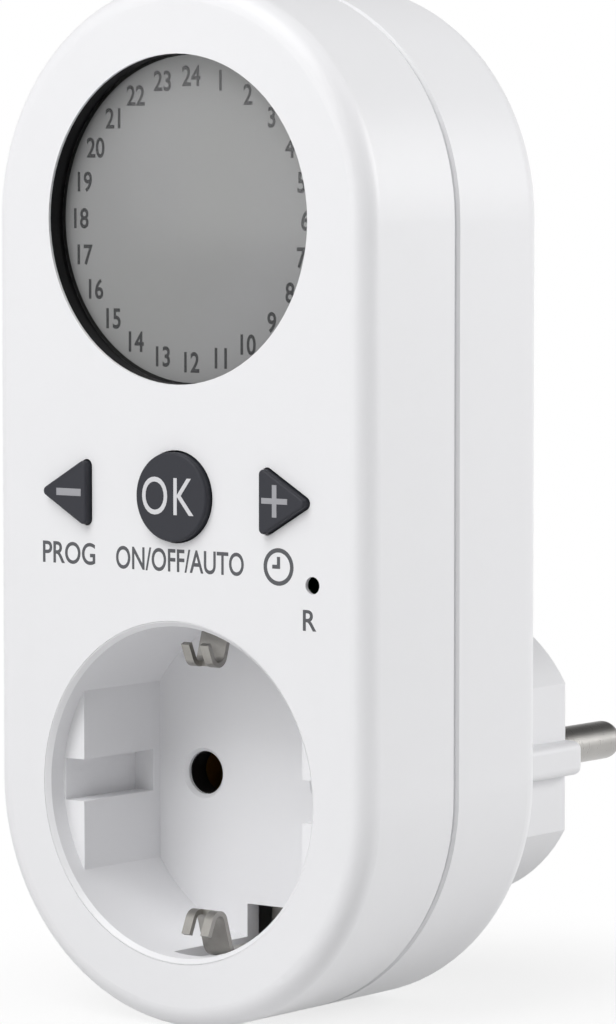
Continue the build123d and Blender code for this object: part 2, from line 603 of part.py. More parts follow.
# ================================================================ keys and their switches
for key, key_x in KEY_PLACES.items():
    with BuildPart() as button:
        with BuildSketch(at_depth(FLANGE_REAR)):
            add(key_outline(key))
        extrude(amount=FLANGE_REAR + KEY_PROUD)
        fillet(button.faces().sort_by(Axis.Y)[0].edges(), KEY_EDGE_RADIUS)
        with BuildSketch(at_depth(FLANGE_REAR)):
            add(key_outline(key, KEY_GAP + KEY_FLANGE))
        extrude(amount=KEY_FLANGE)
        with BuildSketch(at_depth(PLUNGER_FRONT)):
            with Locations((key_x, KEY_ROW)):
                Circle(KEY_STEM_RADIUS)
        extrude(amount=PLUNGER_FRONT - FLANGE_REAR)
    pieces[f"{key}_button"] = button

for key, place in SWITCH_PLACES.items():
    with BuildPart() as plunger:
        with BuildSketch(at_depth(PLUNGER_REAR)):
            with Locations(place):
                Circle(PLUNGER_RADIUS)
        extrude(amount=PLUNGER_LENGTH)
    pieces[f"{key}_plunger"] = plunger

with BuildPart() as switch_bodies:
    with BuildSketch(at_depth(CONTROL_FRONT)):
        with Locations(*SWITCH_PLACES.values()):
            Rectangle(SWITCH_SIZE, SWITCH_SIZE)
    extrude(amount=SWITCH_HEIGHT)
    with BuildSketch(at_depth(PLUNGER_REAR + KEY_TRAVEL + FIT_GAP)):
        with Locations(*SWITCH_PLACES.values()):
            Circle(PLUNGER_RADIUS + RUNNING_GAP)
    extrude(amount=PLUNGER_LENGTH + KEY_TRAVEL, mode=Mode.SUBTRACT)
pieces["switch_bodies"] = switch_bodies

# ================================================================ control board
with BuildPart() as control_board:
    with BuildSketch(at_depth(CONTROL_REAR)):
        with Locations((0, (CONTROL_BOTTOM + CONTROL_TOP) / 2)):
            Rectangle(2 * CONTROL_HALF_WIDTH, CONTROL_TOP - CONTROL_BOTTOM)
        with Locations((0, AXIS_SPACING)):
            Circle(BEZEL_RADIUS + CONTROL_RIM)
        with Locations(*CONTROL_SCREWS):
            Circle(BOARD_SCREW_RADIUS + SCREW_GAP, mode=Mode.SUBTRACT)
    extrude(amount=BOARD_THICKNESS)
pieces["control_board"] = control_board

with BuildPart() as controller_chip:
    with BuildSketch(at_depth(CONTROL_REAR + CHIP_HEIGHT)):
        with Locations((0, AXIS_SPACING)):
            Circle(CHIP_RADIUS)
    extrude(amount=CHIP_HEIGHT)
    fillet(controller_chip.faces().sort_by(Axis.Y)[-1].edges(), min(CHIP_EDGE_RADIUS, 0.9 * CHIP_HEIGHT))
pieces["controller_chip"] = controller_chip

with BuildPart() as clock_crystal:
    with BuildSketch(Plane.XY.offset(AXIS_SPACING + CRYSTAL_OFFSET[1])):
        with Locations((CRYSTAL_OFFSET[0], depth_y(CONTROL_REAR + CRYSTAL_RADIUS))):
            Circle(CRYSTAL_RADIUS)
    extrude(amount=CRYSTAL_LENGTH)
    fillet(clock_crystal.faces().sort_by(Axis.Z)[-1].edges(), CRYSTAL_RADIUS / 3)
pieces["clock_crystal"] = clock_crystal

with BuildPart() as backup_cell:
    with BuildSketch(at_depth(CONTROL_REAR + CELL_THICKNESS)):
        with Locations(CELL_PLACE):
            Circle(CELL_RADIUS)
    extrude(amount=CELL_THICKNESS)
    fillet(backup_cell.faces().sort_by(Axis.Y)[-1].edges(), CELL_THICKNESS / 5)
pieces["backup_cell"] = backup_cell


def rear_screws(places, seat, radius, length, head_radius, head_height):
    """Pan-head screws whose heads face the back and whose shanks point to the front."""
    with BuildPart() as group:
        with BuildSketch(at_depth(seat)):
            with Locations(*places):
                Circle(radius)
        extrude(amount=length)
        with BuildSketch(at_depth(seat + head_height)):
            with Locations(*places):
                Circle(head_radius)
        extrude(amount=head_height)
        chamfer(group.faces().group_by(Axis.Y)[-1].edges(), head_height / 3)
    return group


pieces["housing_screws"] = rear_screws(
    SCREW_PLACES, SCREW_SEAT, SCREW_RADIUS, SCREW_LENGTH, SCREW_HEAD_RADIUS, SCREW_HEAD_HEIGHT
)
pieces["control_board_screws"] = rear_screws(
    CONTROL_SCREWS,
    CONTROL_REAR,
    BOARD_SCREW_RADIUS,
    BOARD_SCREW_LENGTH,
    BOARD_SCREW_HEAD_RADIUS,
    BOARD_SCREW_HEAD_HEIGHT,
)

# ================================================================ power board
with BuildPart() as power_board:
    with BuildSketch(at_depth(POWER_REAR)) as power_outline:
        with Locations((0, POWER_BOTTOM + POWER_LENGTH / 2)):
            Rectangle(2 * POWER_HALF_WIDTH, POWER_LENGTH)
        fillet(power_outline.vertices(), BOARD_CORNER_RADIUS)
        with Locations(*POWER_SCREWS):
            Circle(BOARD_SCREW_RADIUS + SCREW_GAP, mode=Mode.SUBTRACT)
        with Locations(*both_sides(UPPER_SCREW)):
            Circle(TUBE_RADIUS + TUBE_NOTCH, mode=Mode.SUBTRACT)
    extrude(amount=BOARD_THICKNESS)
pieces["power_board"] = power_board

with BuildPart() as power_board_screws:
    with BuildSketch(at_depth(BACK_WALL)):
        with Locations(*POWER_SCREWS):
            Circle(BOARD_SCREW_RADIUS)
    extrude(amount=BACK_WALL - POWER_FRONT)
    with BuildSketch(at_depth(POWER_FRONT)):
        with Locations(*POWER_SCREWS):
            Circle(BOARD_SCREW_HEAD_RADIUS)
    extrude(amount=BOARD_SCREW_HEAD_HEIGHT)
    chamfer(power_board_screws.faces().group_by(Axis.Y)[0].edges(), BOARD_SCREW_HEAD_HEIGHT / 3)
pieces["power_board_screws"] = power_board_screws


def cased_components(size, places, edge_chamfer):
    """Components in moulded cases that stand on the power board's front face."""
    with BuildPart() as group:
        with BuildSketch(at_depth(POWER_FRONT)):
            with Locations(*places):
                Rectangle(size[0], size[1])
        extrude(amount=size[2])
        chamfer(group.faces().group_by(Axis.Y)[0].edges(), edge_chamfer)
    return group


DIODE_PLACES = [
    (DIODE_PLACE[0] + DIODE_PITCH * (index - (DIODE_COUNT - 1) / 2), DIODE_PLACE[1])
    for index in range(DIODE_COUNT)
]
pieces["relay"] = cased_components(RELAY_SIZE, [RELAY_PLACE], RELAY_EDGE_CHAMFER)
pieces["film_capacitor"] = cased_components(
    FILM_CAPACITOR_SIZE, [FILM_CAPACITOR_PLACE], FILM_CAPACITOR_EDGE_CHAMFER
)
pieces["rectifier_diodes"] = cased_components(DIODE_SIZE, DIODE_PLACES, DIODE_EDGE_CHAMFER)

with BuildPart() as electrolytic_capacitor:
    foot_y = depth_y(POWER_FRONT)
    groove_y = foot_y - ELECTROLYTIC_GROOVE_HEIGHT
    can_outline = (
        (foot_y, 0),
        (foot_y, ELECTROLYTIC_RADIUS),
        (groove_y + ELECTROLYTIC_GROOVE, ELECTROLYTIC_RADIUS),
        (groove_y, ELECTROLYTIC_RADIUS - ELECTROLYTIC_GROOVE),
        (groove_y - ELECTROLYTIC_GROOVE, ELECTROLYTIC_RADIUS),
        (foot_y - ELECTROLYTIC_HEIGHT, ELECTROLYTIC_RADIUS),
        (foot_y - ELECTROLYTIC_HEIGHT, 0),
    )
    with BuildSketch(Plane.YZ.offset(ELECTROLYTIC_PLACE[0])):
        with BuildLine():
            Polyline(*[(y, ELECTROLYTIC_PLACE[1] + radius) for y, radius in can_outline], close=True)
        make_face()
    revolve(axis=Axis((ELECTROLYTIC_PLACE[0], 0, ELECTROLYTIC_PLACE[1]), (0, 1, 0)))
pieces["electrolytic_capacitor"] = electrolytic_capacitor

with BuildPart() as varistor:
    with BuildSketch(Plane.YZ.offset(VARISTOR_PLACE[0] - VARISTOR_THICKNESS / 2)):
        with Locations((depth_y(POWER_FRONT - VARISTOR_RADIUS), VARISTOR_PLACE[1])):
            Circle(VARISTOR_RADIUS)
    extrude(amount=VARISTOR_THICKNESS)
    fillet(varistor.edges().filter_by(GeomType.CIRCLE), VARISTOR_THICKNESS / 3)
pieces["varistor"] = varistor

# a header on each board, joined by pins
with BuildPart() as link_headers:
    with BuildSketch(at_depth(POWER_FRONT)):
        with Locations(LINK_PLACE):
            Rectangle(LINK_PITCH * LINK_COUNT, LINK_BLOCK_WIDTH)
    extrude(amount=LINK_BLOCK_HEIGHT)
    with BuildSketch(at_depth(CONTROL_REAR + LINK_BLOCK_HEIGHT)):
        with Locations(LINK_PLACE):
            Rectangle(LINK_PITCH * LINK_COUNT, LINK_BLOCK_WIDTH)
    extrude(amount=LINK_BLOCK_HEIGHT)
pieces["link_headers"] = link_headers

with BuildPart() as link_pins:
    with BuildSketch(at_depth(POWER_FRONT - LINK_BLOCK_HEIGHT)):
        with Locations(LINK_PLACE):
            with GridLocations(LINK_PITCH, 0, LINK_COUNT, 1):
                Rectangle(LINK_PIN_WIDTH, LINK_PIN_WIDTH)
    extrude(amount=POWER_FRONT - CONTROL_REAR - 2 * LINK_BLOCK_HEIGHT)
pieces["link_pins"] = link_pins

# ================================================================ plug pins
for name, side in (("neutral_pin", -1), ("live_pin", 1)):
    pin_x = side * PIN_SPACING / 2
    outline = (
        (0, CAVITY_END - SHEET - PIN_HEAD_HEIGHT),
        (PIN_HEAD_RADIUS, CAVITY_END - SHEET - PIN_HEAD_HEIGHT),
        (PIN_HEAD_RADIUS, CAVITY_END - SHEET),
        (PIN_STUB_RADIUS, CAVITY_END - SHEET),
        (PIN_STUB_RADIUS, CAVITY_END),
        (PIN_ROOT_RADIUS, CAVITY_END),
        (PIN_ROOT_RADIUS, PLUG_FACE - PIN_SHOULDER),
        (PIN_RADIUS, PLUG_FACE),
        (PIN_RADIUS, PLUG_FACE + PIN_LENGTH),
        (0, PLUG_FACE + PIN_LENGTH),
    )
    with BuildPart() as pin:
        with BuildSketch(Plane.XY) as profile:
            with BuildLine():
                Polyline(*[(pin_x + radius, depth_y(depth)) for radius, depth in outline], close=True)
            make_face()
            fillet(profile.vertices().group_by(Axis.Y)[-1].sort_by(Axis.X)[-1], PIN_TIP_RADIUS)
        revolve(axis=Axis((pin_x, 0, 0), (0, 1, 0)))
    pieces[name] = pin

# ================================================================ socket contacts
for name, side in (("neutral_contact", -1), ("live_contact", 1)):
    pin_x = side * PIN_SPACING / 2
    leaf = (
        (CONTACT_MOUTH, CONTACT_FRONT),
        (CONTACT_THROAT, CONTACT_FRONT + THROAT_DEPTH),
        (CONTACT_BODY, CONTACT_FRONT + BODY_START),
        (CONTACT_BODY, CONTACT_BACK),
    )
    spring = [(pin_x - reach, depth_y(depth)) for reach, depth in leaf]
    spring += [(pin_x + reach, depth_y(depth)) for reach, depth in reversed(leaf)]
    arm_x = side * (PIN_SPACING / 2 + CONTACT_BODY + SHEET / 2) - SHEET / 2
    with BuildPart() as contact:
        with BuildSketch(Plane.XY.offset(-CONTACT_WIDTH / 2)):
            with BuildLine():
                FilletPolyline(*spring, radius=SHEET_BEND)
                offset(amount=SHEET, side=Side.LEFT)
            make_face()
        extrude(amount=CONTACT_WIDTH)
        # arm up to the power board
        with BuildSketch(Plane.YZ.offset(arm_x)):
            with Locations((depth_y(POWER_FRONT - ARM_WIDTH / 2), ARM_TOP / 2)):
                Rectangle(ARM_WIDTH, ARM_TOP)
        extrude(amount=SHEET)
    pieces[name] = contact

# ================================================================ busbars
with BuildPart() as neutral_busbar:
    end_x = -PIN_SPACING / 2 - CONTACT_BODY
    back_x = -PIN_SPACING / 2 + NEUTRAL_REACH
    with BuildSketch(Plane.XY.offset(-BUSBAR_PLATE / 2)):
        with BuildLine():
            FilletPolyline(
                (end_x, depth_y(CONTACT_BACK + SHEET)),
                (back_x, depth_y(CONTACT_BACK + SHEET)),
                (back_x, depth_y(CAVITY_END)),
                (end_x, depth_y(CAVITY_END)),
                radius=SHEET + SHEET_BEND,
            )
            offset(amount=SHEET, side=Side.LEFT)
        make_face()
    extrude(amount=BUSBAR_PLATE)
    with BuildSketch(at_depth(CAVITY_END)):
        with Locations((-PIN_SPACING / 2, 0)):
            Circle(PIN_STUB_RADIUS + PILOT_GAP)
    extrude(amount=SHEET, mode=Mode.SUBTRACT)
pieces["neutral_busbar"] = neutral_busbar

with BuildPart() as live_busbar:
    inner_x = PIN_SPACING / 2 - BUSBAR_SIDE
    plate_width = BUSBAR_SIDE + CONTACT_BODY
    with BuildSketch(at_depth(CAVITY_END)):
        with Locations((inner_x + plate_width / 2, 0)):
            Rectangle(plate_width, BUSBAR_PLATE)
    extrude(amount=SHEET)
    with BuildSketch(Plane.YZ.offset(inner_x)):
        with BuildLine():
            FilletPolyline(
                (depth_y(CAVITY_END), 0),
                (depth_y(CAVITY_END), BUSBAR_LEVEL + SHEET),
                (depth_y(POWER_REAR + SHEET), BUSBAR_LEVEL + SHEET),
                (depth_y(POWER_REAR + SHEET), ARM_TOP),
                radius=(SHEET + SHEET_BEND, SHEET_BEND),
            )
            offset(amount=SHEET, side=Side.LEFT)
        make_face()
    extrude(amount=BUSBAR_WIDTH)
    with BuildSketch(at_depth(CAVITY_END)):
        with Locations((PIN_SPACING / 2, 0)):
            Circle(PIN_STUB_RADIUS + PILOT_GAP)
    extrude(amount=SHEET, mode=Mode.SUBTRACT)
pieces["live_busbar"] = live_busbar

# ================================================================ earth strips
with BuildPart() as earth_strip_top:
    with BuildSketch(Plane.YZ.offset(-STRIP_WIDTH / 2)):
        with BuildLine():
            FilletPolyline(
                (depth_y(CLIP_TIP[0]), CLIP_TIP[1]),
                (depth_y(CLIP_CROWN[0]), CLIP_CROWN[1]),
                (depth_y(CLIP_FOOT_DEPTH), CHANNEL_LEVEL),
                (depth_y(BRIDGE_REAR), CHANNEL_LEVEL),
                (depth_y(BRIDGE_REAR), EARTH_FLOOR + SEAT_GAP),
                (depth_y(PLUG_FACE - STRIP_END_GAP), EARTH_FLOOR + SEAT_GAP),
                radius=CLIP_BENDS,
            )
            offset(amount=STRIP_THICKNESS, side=Side.LEFT)
        make_face()
    extrude(amount=STRIP_WIDTH)
    # slot that splits the tongue, open at its tip
    slot_end = CLIP_CROWN[1] + CLIP_SLOT_STOP
    slot_mouth = CLIP_TIP[1] + STRIP_THICKNESS
    with BuildSketch(at_depth(CLIP_CROWN[0])):
        with Locations((0, (slot_end + slot_mouth) / 2)):
            Rectangle(CLIP_SLOT_WIDTH, slot_mouth - slot_end)
    extrude(amount=CLIP_CROWN[0], mode=Mode.SUBTRACT)
pieces["earth_strip_top"] = earth_strip_top

with BuildPart() as earth_strip_bottom:
    mirror(earth_strip_top.part, about=Plane.XY)
pieces["earth_strip_bottom"] = earth_strip_bottom

with BuildPart() as earth_bridge:
    with BuildSketch(at_depth(BRIDGE_REAR)):
        Rectangle(STRIP_WIDTH, 2 * (CHANNEL_LEVEL - STRIP_BEND))
    extrude(amount=STRIP_THICKNESS)
pieces["earth_bridge"] = earth_bridge

# ================================================================ files
for name, piece in pieces.items():
    piece.part.label = name
    export_step(piece.part, f"parts/{name}.step")
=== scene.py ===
"""Looks of the plug-in timer switch: finishes, printing, numerals, screws, light and camera."""
from math import cos, pi, radians, sin

import bmesh
import bpy
from mathutils import Matrix, Vector


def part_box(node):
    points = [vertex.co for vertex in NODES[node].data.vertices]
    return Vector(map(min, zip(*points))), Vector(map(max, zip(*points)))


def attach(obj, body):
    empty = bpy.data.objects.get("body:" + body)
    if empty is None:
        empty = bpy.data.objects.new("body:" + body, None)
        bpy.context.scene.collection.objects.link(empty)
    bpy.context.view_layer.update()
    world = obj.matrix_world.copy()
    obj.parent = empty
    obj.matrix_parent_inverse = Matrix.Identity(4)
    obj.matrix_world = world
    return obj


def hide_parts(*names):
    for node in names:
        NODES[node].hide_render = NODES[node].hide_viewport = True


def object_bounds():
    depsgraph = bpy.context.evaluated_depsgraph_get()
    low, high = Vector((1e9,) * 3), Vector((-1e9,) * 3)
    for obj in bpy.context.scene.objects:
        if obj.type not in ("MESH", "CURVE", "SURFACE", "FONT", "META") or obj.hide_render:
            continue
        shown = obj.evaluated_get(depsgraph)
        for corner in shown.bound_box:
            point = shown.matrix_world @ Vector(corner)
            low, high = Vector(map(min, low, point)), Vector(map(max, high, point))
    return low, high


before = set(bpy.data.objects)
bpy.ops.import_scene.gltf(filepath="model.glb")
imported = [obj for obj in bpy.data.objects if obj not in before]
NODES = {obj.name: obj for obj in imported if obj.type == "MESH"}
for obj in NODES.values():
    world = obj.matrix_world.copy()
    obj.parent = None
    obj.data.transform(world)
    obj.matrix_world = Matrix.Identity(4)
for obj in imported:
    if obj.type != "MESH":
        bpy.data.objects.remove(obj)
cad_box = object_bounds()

MM = 0.001
SCENE = bpy.context.scene

# ================================================================ places, from the frame
FACE_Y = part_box("front_cover")[0].y  # the front face
DISPLAY_LOW, DISPLAY_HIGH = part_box("lcd_cell")
DISPLAY_CENTRE = (DISPLAY_LOW + DISPLAY_HIGH) / 2
DISPLAY_RADIUS = (DISPLAY_HIGH.x - DISPLAY_LOW.x) / 2
FLOOR_Z = cad_box[0].z


def key_face(key):
    """Middle of a key's front face."""
    low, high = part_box(f"{key}_button")
    return Vector(((low.x + high.x) / 2, low.y, (low.z + high.z) / 2))


# ================================================================ material tools
DRIFT_SIZE = 18 * MM  # width of the patches in which a moulded colour drifts
GLOSS_SWING = 0.05  # roughness gained and lost over the grain of a moulded surface
STAIN_SIZE = 3.5 * MM  # width of the patches of tarnish on metal
METAL_GLOSS_SWING = 0.08  # roughness gained and lost over the fine marks of metal
METAL_RELIEF = 0.01 * MM  # depth of those marks


def linear(hex_colour):
    """Linear RGBA of an sRGB hex colour."""
    channels = [int(hex_colour[i : i + 2], 16) / 255 for i in (1, 3, 5)]
    return [c / 12.92 if c <= 0.04045 else ((c + 0.055) / 1.055) ** 2.4 for c in channels] + [1.0]


def add(tree, kind, inputs=None, **settings):
    """Adds a node: settings are its properties, inputs are values or links by socket name or number."""
    made = tree.nodes.new(kind)
    for name, value in settings.items():
        setattr(made, name, value)
    for name, value in (inputs or {}).items():
        if isinstance(value, bpy.types.NodeSocket):
            tree.links.new(value, made.inputs[name])
        else:
            made.inputs[name].default_value = value
    return made


def new_material(name):
    """An empty node material, and its tree."""
    material = bpy.data.materials.new(name)
    material.use_nodes = True
    material.node_tree.nodes.clear()
    return material, material.node_tree


def moulded(name, colour, roughness, *, grain, relief, drift=0.03, second=None, specular=0.5):
    """A moulded, dipped or coated surface: grain is its texture's size and relief its height, in mm.

    The colour drifts in wide patches to `second`, or else to a colour darker by the share `drift`.
    The roughness follows the grain.
    """
    material, tree = new_material(name)
    place = add(tree, "ShaderNodeTexCoord").outputs["Object"]
    flow = add(tree, "ShaderNodeTexNoise", {"Vector": place, "Scale": 1 / DRIFT_SIZE, "Detail": 2.0})
    texture = add(
        tree,
        "ShaderNodeTexNoise",
        {"Vector": place, "Scale": 1 / (grain * MM), "Detail": 3.0, "Roughness": 0.6},
    )
    darker = [channel * (1 - drift) for channel in linear(colour)[:3]] + [1.0]
    tint = add(
        tree,
        "ShaderNodeMix",
        {"Factor": flow.outputs["Fac"], "A": linear(second) if second else darker, "B": linear(colour)},
        data_type="RGBA",
    )
    gloss = add(
        tree,
        "ShaderNodeMapRange",
        {
            "Value": texture.outputs["Fac"],
            "To Min": roughness - GLOSS_SWING,
            "To Max": roughness + GLOSS_SWING,
        },
    )
    bump = add(
        tree,
        "ShaderNodeBump",
        {"Height": texture.outputs["Fac"], "Strength": 0.6, "Distance": relief * MM},
    )
    surface = add(
        tree,
        "ShaderNodeBsdfPrincipled",
        {
            "Base Color": tint.outputs["Result"],
            "Roughness": gloss.outputs["Result"],
            "Normal": bump.outputs["Normal"],
            "Specular IOR Level": specular,
        },
    )
    add(tree, "ShaderNodeOutputMaterial", {"Surface": surface.outputs["BSDF"]})
    return material


def rolled_metal(name, colour, tarnish, roughness, line, stretch=(1.0, 1.0, 12.0)):
    """Sheet or turned metal: line is the width of its fine marks in mm.

    The marks are drawn out along X, Y and Z as many times as the stretch says.
    """
    material, tree = new_material(name)
    place = add(tree, "ShaderNodeTexCoord").outputs["Object"]
    drawn = add(tree, "ShaderNodeMapping", {"Vector": place, "Scale": [1 / s for s in stretch]})
    marks = add(
        tree,
        "ShaderNodeTexNoise",
        {"Vector": drawn.outputs["Vector"], "Scale": 1 / (line * MM), "Detail": 4.0},
    )
    stain = add(tree, "ShaderNodeTexNoise", {"Vector": place, "Scale": 1 / STAIN_SIZE, "Detail": 3.0})
    tint = add(
        tree,
        "ShaderNodeMix",
        {"Factor": stain.outputs["Fac"], "A": linear(colour), "B": linear(tarnish)},
        data_type="RGBA",
    )
    gloss = add(
        tree,
        "ShaderNodeMapRange",
        {
            "Value": marks.outputs["Fac"],
            "To Min": roughness - METAL_GLOSS_SWING,
            "To Max": roughness + METAL_GLOSS_SWING,
        },
    )
    bump = add(
        tree,
        "ShaderNodeBump",
        {"Height": marks.outputs["Fac"], "Strength": 0.4, "Distance": METAL_RELIEF},
    )
    surface = add(
        tree,
        "ShaderNodeBsdfPrincipled",
        {
            "Base Color": tint.outputs["Result"],
            "Roughness": gloss.outputs["Result"],
            "Normal": bump.outputs["Normal"],
            "Metallic": 1.0,
        },
    )
    add(tree, "ShaderNodeOutputMaterial", {"Surface": surface.outputs["BSDF"]})
    return material


# ================================================================ materials
def white_abs():
    """White ABS from a finely eroded mould: an even white with wide, soft highlights."""
    return moulded("white_abs", "#EEEEF0", 0.38, grain=0.4, relief=0.012, drift=0.015)


def slate_soft_touch():
    """Slate ABS under a soft-touch lacquer: nearly matt, with a faint sheen."""
    return moulded("slate_soft_touch_abs", "#2C2D34", 0.55, grain=0.3, relief=0.02, specular=0.35)


def black_abs():
    """Black ABS of the bezel, eroded to kill reflections: deep black, with a dull edge highlight."""
    return moulded("black_abs", "#08080A", 0.55, grain=0.35, relief=0.012, specular=0.3)


WIPED_SIZE = 9 * MM  # width of the duller patches on the lens
LENS_CLEAN = 0.04  # roughness of the lens outside them
LENS_WIPED = 0.12  # and inside


def acrylic_lens():
    """Cast acrylic sheet: clear, with a thin reflection that grows where it is seen at a slant.

    Wiping has left it a little duller in soft patches.
    """
    material, tree = new_material("clear_acrylic")
    place = add(tree, "ShaderNodeTexCoord").outputs["Object"]
    patches = add(tree, "ShaderNodeTexNoise", {"Vector": place, "Scale": 1 / WIPED_SIZE})
    dullness = add(
        tree,
        "ShaderNodeMapRange",
        {"Value": patches.outputs["Fac"], "To Min": LENS_CLEAN, "To Max": LENS_WIPED},
    )
    clear = add(tree, "ShaderNodeBsdfTransparent", {"Color": linear("#FAFAFA")})
    shine = add(tree, "ShaderNodeBsdfGlossy", {"Roughness": dullness.outputs["Result"]})
    fresnel = add(tree, "ShaderNodeFresnel", {"IOR": 1.49})
    # light that leaves the sheet on its far side passes without a second reflection
    far_side = add(tree, "ShaderNodeNewGeometry").outputs["Backfacing"]
    near_side = add(tree, "ShaderNodeMath", {0: 1.0, 1: far_side}, operation="SUBTRACT")
    mirror = add(
        tree,
        "ShaderNodeMath",
        {0: fresnel.outputs["Fac"], 1: near_side.outputs[0]},
        operation="MULTIPLY",
    )
    mixed = add(
        tree,
        "ShaderNodeMixShader",
        {"Fac": mirror.outputs[0], 1: clear.outputs["BSDF"], 2: shine.outputs["BSDF"]},
    )
    add(tree, "ShaderNodeOutputMaterial", {"Surface": mixed.outputs["Shader"]})
    return material


def lcd_film():
    """Reflective LCD under a matt polariser film: flat mid grey, a shade greener in wide patches."""
    return moulded(
        "lcd_polariser_film",
        "#9C9C9E",
        0.65,
        grain=0.3,
        relief=0.0002,
        second="#999A98",
        specular=0.3,
    )


def lcd_segments():
    """Driven liquid-crystal segments: as matt as the film over the cell, and much darker."""
    return moulded("lcd_segments", "#2A2B2E", 0.65, grain=0.3, relief=0.0002, specular=0.3)


ZEBRA_WAVE = 1.9 * MM  # the wave texture turns this into layers 0.3 mm thick


def zebra_silicone():
    """Zebra strip of striped silicone: black carbon layers between pale ones.

    The real layers are 0.1 mm thick; here they are drawn 0.3 mm thick, to show at all.
    """
    material, tree = new_material("zebra_silicone")
    place = add(tree, "ShaderNodeTexCoord").outputs["Object"]
    layers = add(
        tree, "ShaderNodeTexWave", {"Vector": place, "Scale": 1 / ZEBRA_WAVE}, bands_direction="X"
    )
    tint = add(
        tree,
        "ShaderNodeMix",
        {"Factor": layers.outputs["Fac"], "A": linear("#1A1A1B"), "B": linear("#C9B9B2")},
        data_type="RGBA",
    )
    surface = add(
        tree, "ShaderNodeBsdfPrincipled", {"Base Color": tint.outputs["Result"], "Roughness": 0.6}
    )
    add(tree, "ShaderNodeOutputMaterial", {"Surface": surface.outputs["BSDF"]})
    return material


def black_nylon():
    """Glass-filled black nylon of the switches and headers: dry and slightly mottled."""
    return moulded("black_nylon", "#17171A", 0.55, grain=0.2, relief=0.02)


TRACK_PITCH = 1.27 * MM
TRACK_GAP = 0.3 * MM
TRACK_LENGTH = 9 * MM
TRACK_HEIGHT = 0.035 * MM


def solder_mask():
    """Green solder mask over copper tracks 1.27 mm apart, which are a paler green and stand proud."""
    material, tree = new_material("green_solder_mask")
    place = add(tree, "ShaderNodeTexCoord").outputs["Object"]
    turned = add(tree, "ShaderNodeMapping", {"Vector": place, "Rotation": (pi / 2, 0, 0)})
    tracks = add(
        tree,
        "ShaderNodeTexBrick",
        {
            "Vector": turned.outputs["Vector"],
            "Color1": linear("#1E6B35"),
            "Color2": linear("#1A6231"),
            "Mortar": linear("#0F4A22"),
            "Scale": 1.0,
            "Mortar Size": TRACK_GAP,
            "Brick Width": TRACK_LENGTH,
            "Row Height": TRACK_PITCH,
        },
    )
    bump = add(
        tree, "ShaderNodeBump", {"Height": tracks.outputs["Fac"], "Distance": TRACK_HEIGHT}, invert=True
    )
    surface = add(
        tree,
        "ShaderNodeBsdfPrincipled",
        {"Base Color": tracks.outputs["Color"], "Roughness": 0.35, "Normal": bump.outputs["Normal"]},
    )
    add(tree, "ShaderNodeOutputMaterial", {"Surface": surface.outputs["BSDF"]})
    return material


def black_epoxy():
    """Poured black epoxy: glossy, with a shallow uneven skin."""
    return moulded("black_epoxy", "#0D0D0E", 0.2, grain=2.5, relief=0.06)


def zinc_plated_steel():
    """Bright zinc-plated steel of the screws: a cool silver with a faintly yellow bloom."""
    return rolled_metal("zinc_plated_steel", "#B9BCBE", "#A8A697", 0.33, line=0.3, stretch=(1, 1, 1))


def nickel_plated_steel():
    """Nickel-plated steel cans of the cell and the crystal: warm silver, finely brushed."""
    return rolled_metal("nickel_plated_steel", "#BDB9B1", "#ABA69C", 0.28, line=0.15)


def relay_case():
    """Blue PBT of the relay's case: saturated and satin."""
    return moulded("blue_pbt", "#24408F", 0.38, grain=0.3, relief=0.015)


def film_capacitor_box():
    """Yellow flame-proofed box of the film capacitor, filled with resin."""
    return moulded("yellow_pbt", "#D9A521", 0.4, grain=0.3, relief=0.015)


def capacitor_sleeve():
    """Dark shrunk PET sleeve of the electrolytic capacitor: glossy, with long soft ripples."""
    return moulded("dark_pet_sleeve", "#171A24", 0.25, grain=4.0, relief=0.05)


def varistor_coat():
    """Blue epoxy dip of the varistor: thick, with an orange-peel skin."""
    return moulded("blue_epoxy_dip", "#2C5FA8", 0.3, grain=0.8, relief=0.06)


def phenolic():
    """Black phenolic of the contact carrier: hard and dull, with a fine brown mottle."""
    return moulded("black_phenolic", "#0B0A0A", 0.5, grain=0.25, relief=0.01, second="#151110")


def stamped_brass():
    """Stamped brass of the springs and busbars: yellow, lined by the rolling, a little browned."""
    return rolled_metal("stamped_brass", "#C4A055", "#8F7038", 0.42, line=0.12)


def turned_nickel():
    """Nickel plate on the turned brass pins: grey silver, with turning marks round the pin."""
    return rolled_metal("nickel_plated_brass", "#B7B5B2", "#A3A19E", 0.3, line=0.2, stretch=(8, 1, 8))


def tinned_steel():
    """Tinned spring steel of the earth strips: a dull, slightly mottled silver."""
    return rolled_metal("tinned_spring_steel", "#B4B2AE", "#8A8782", 0.4, line=0.25, stretch=(1, 6, 6))


def grey_ink():
    """Dark grey pad-printing ink: a thin, matt film."""
    return moulded("grey_pad_ink", "#55565A", 0.6, grain=0.15, relief=0.002, drift=0.1)


def pale_ink():
    """White pad-printing ink of the OK sign: a thin film that lets a little grey through."""
    return moulded("white_pad_ink", "#D9D9DC", 0.55, grain=0.15, relief=0.002, drift=0.08)


def border_ink():
    """Black ring on the display glass, dense and matt: painted shade that deepens the bezel's shadow
    along the display's edge.
    """
    return moulded("painted_edge_shade", "#0A0A0B", 0.6, grain=0.2, relief=0.002)


def dim_ink():
    """White pad-printing ink of the minus and plus signs: so thin that it shows as a mid grey."""
    return moulded("thin_white_pad_ink", "#A3A3A8", 0.55, grain=0.15, relief=0.002, drift=0.08)


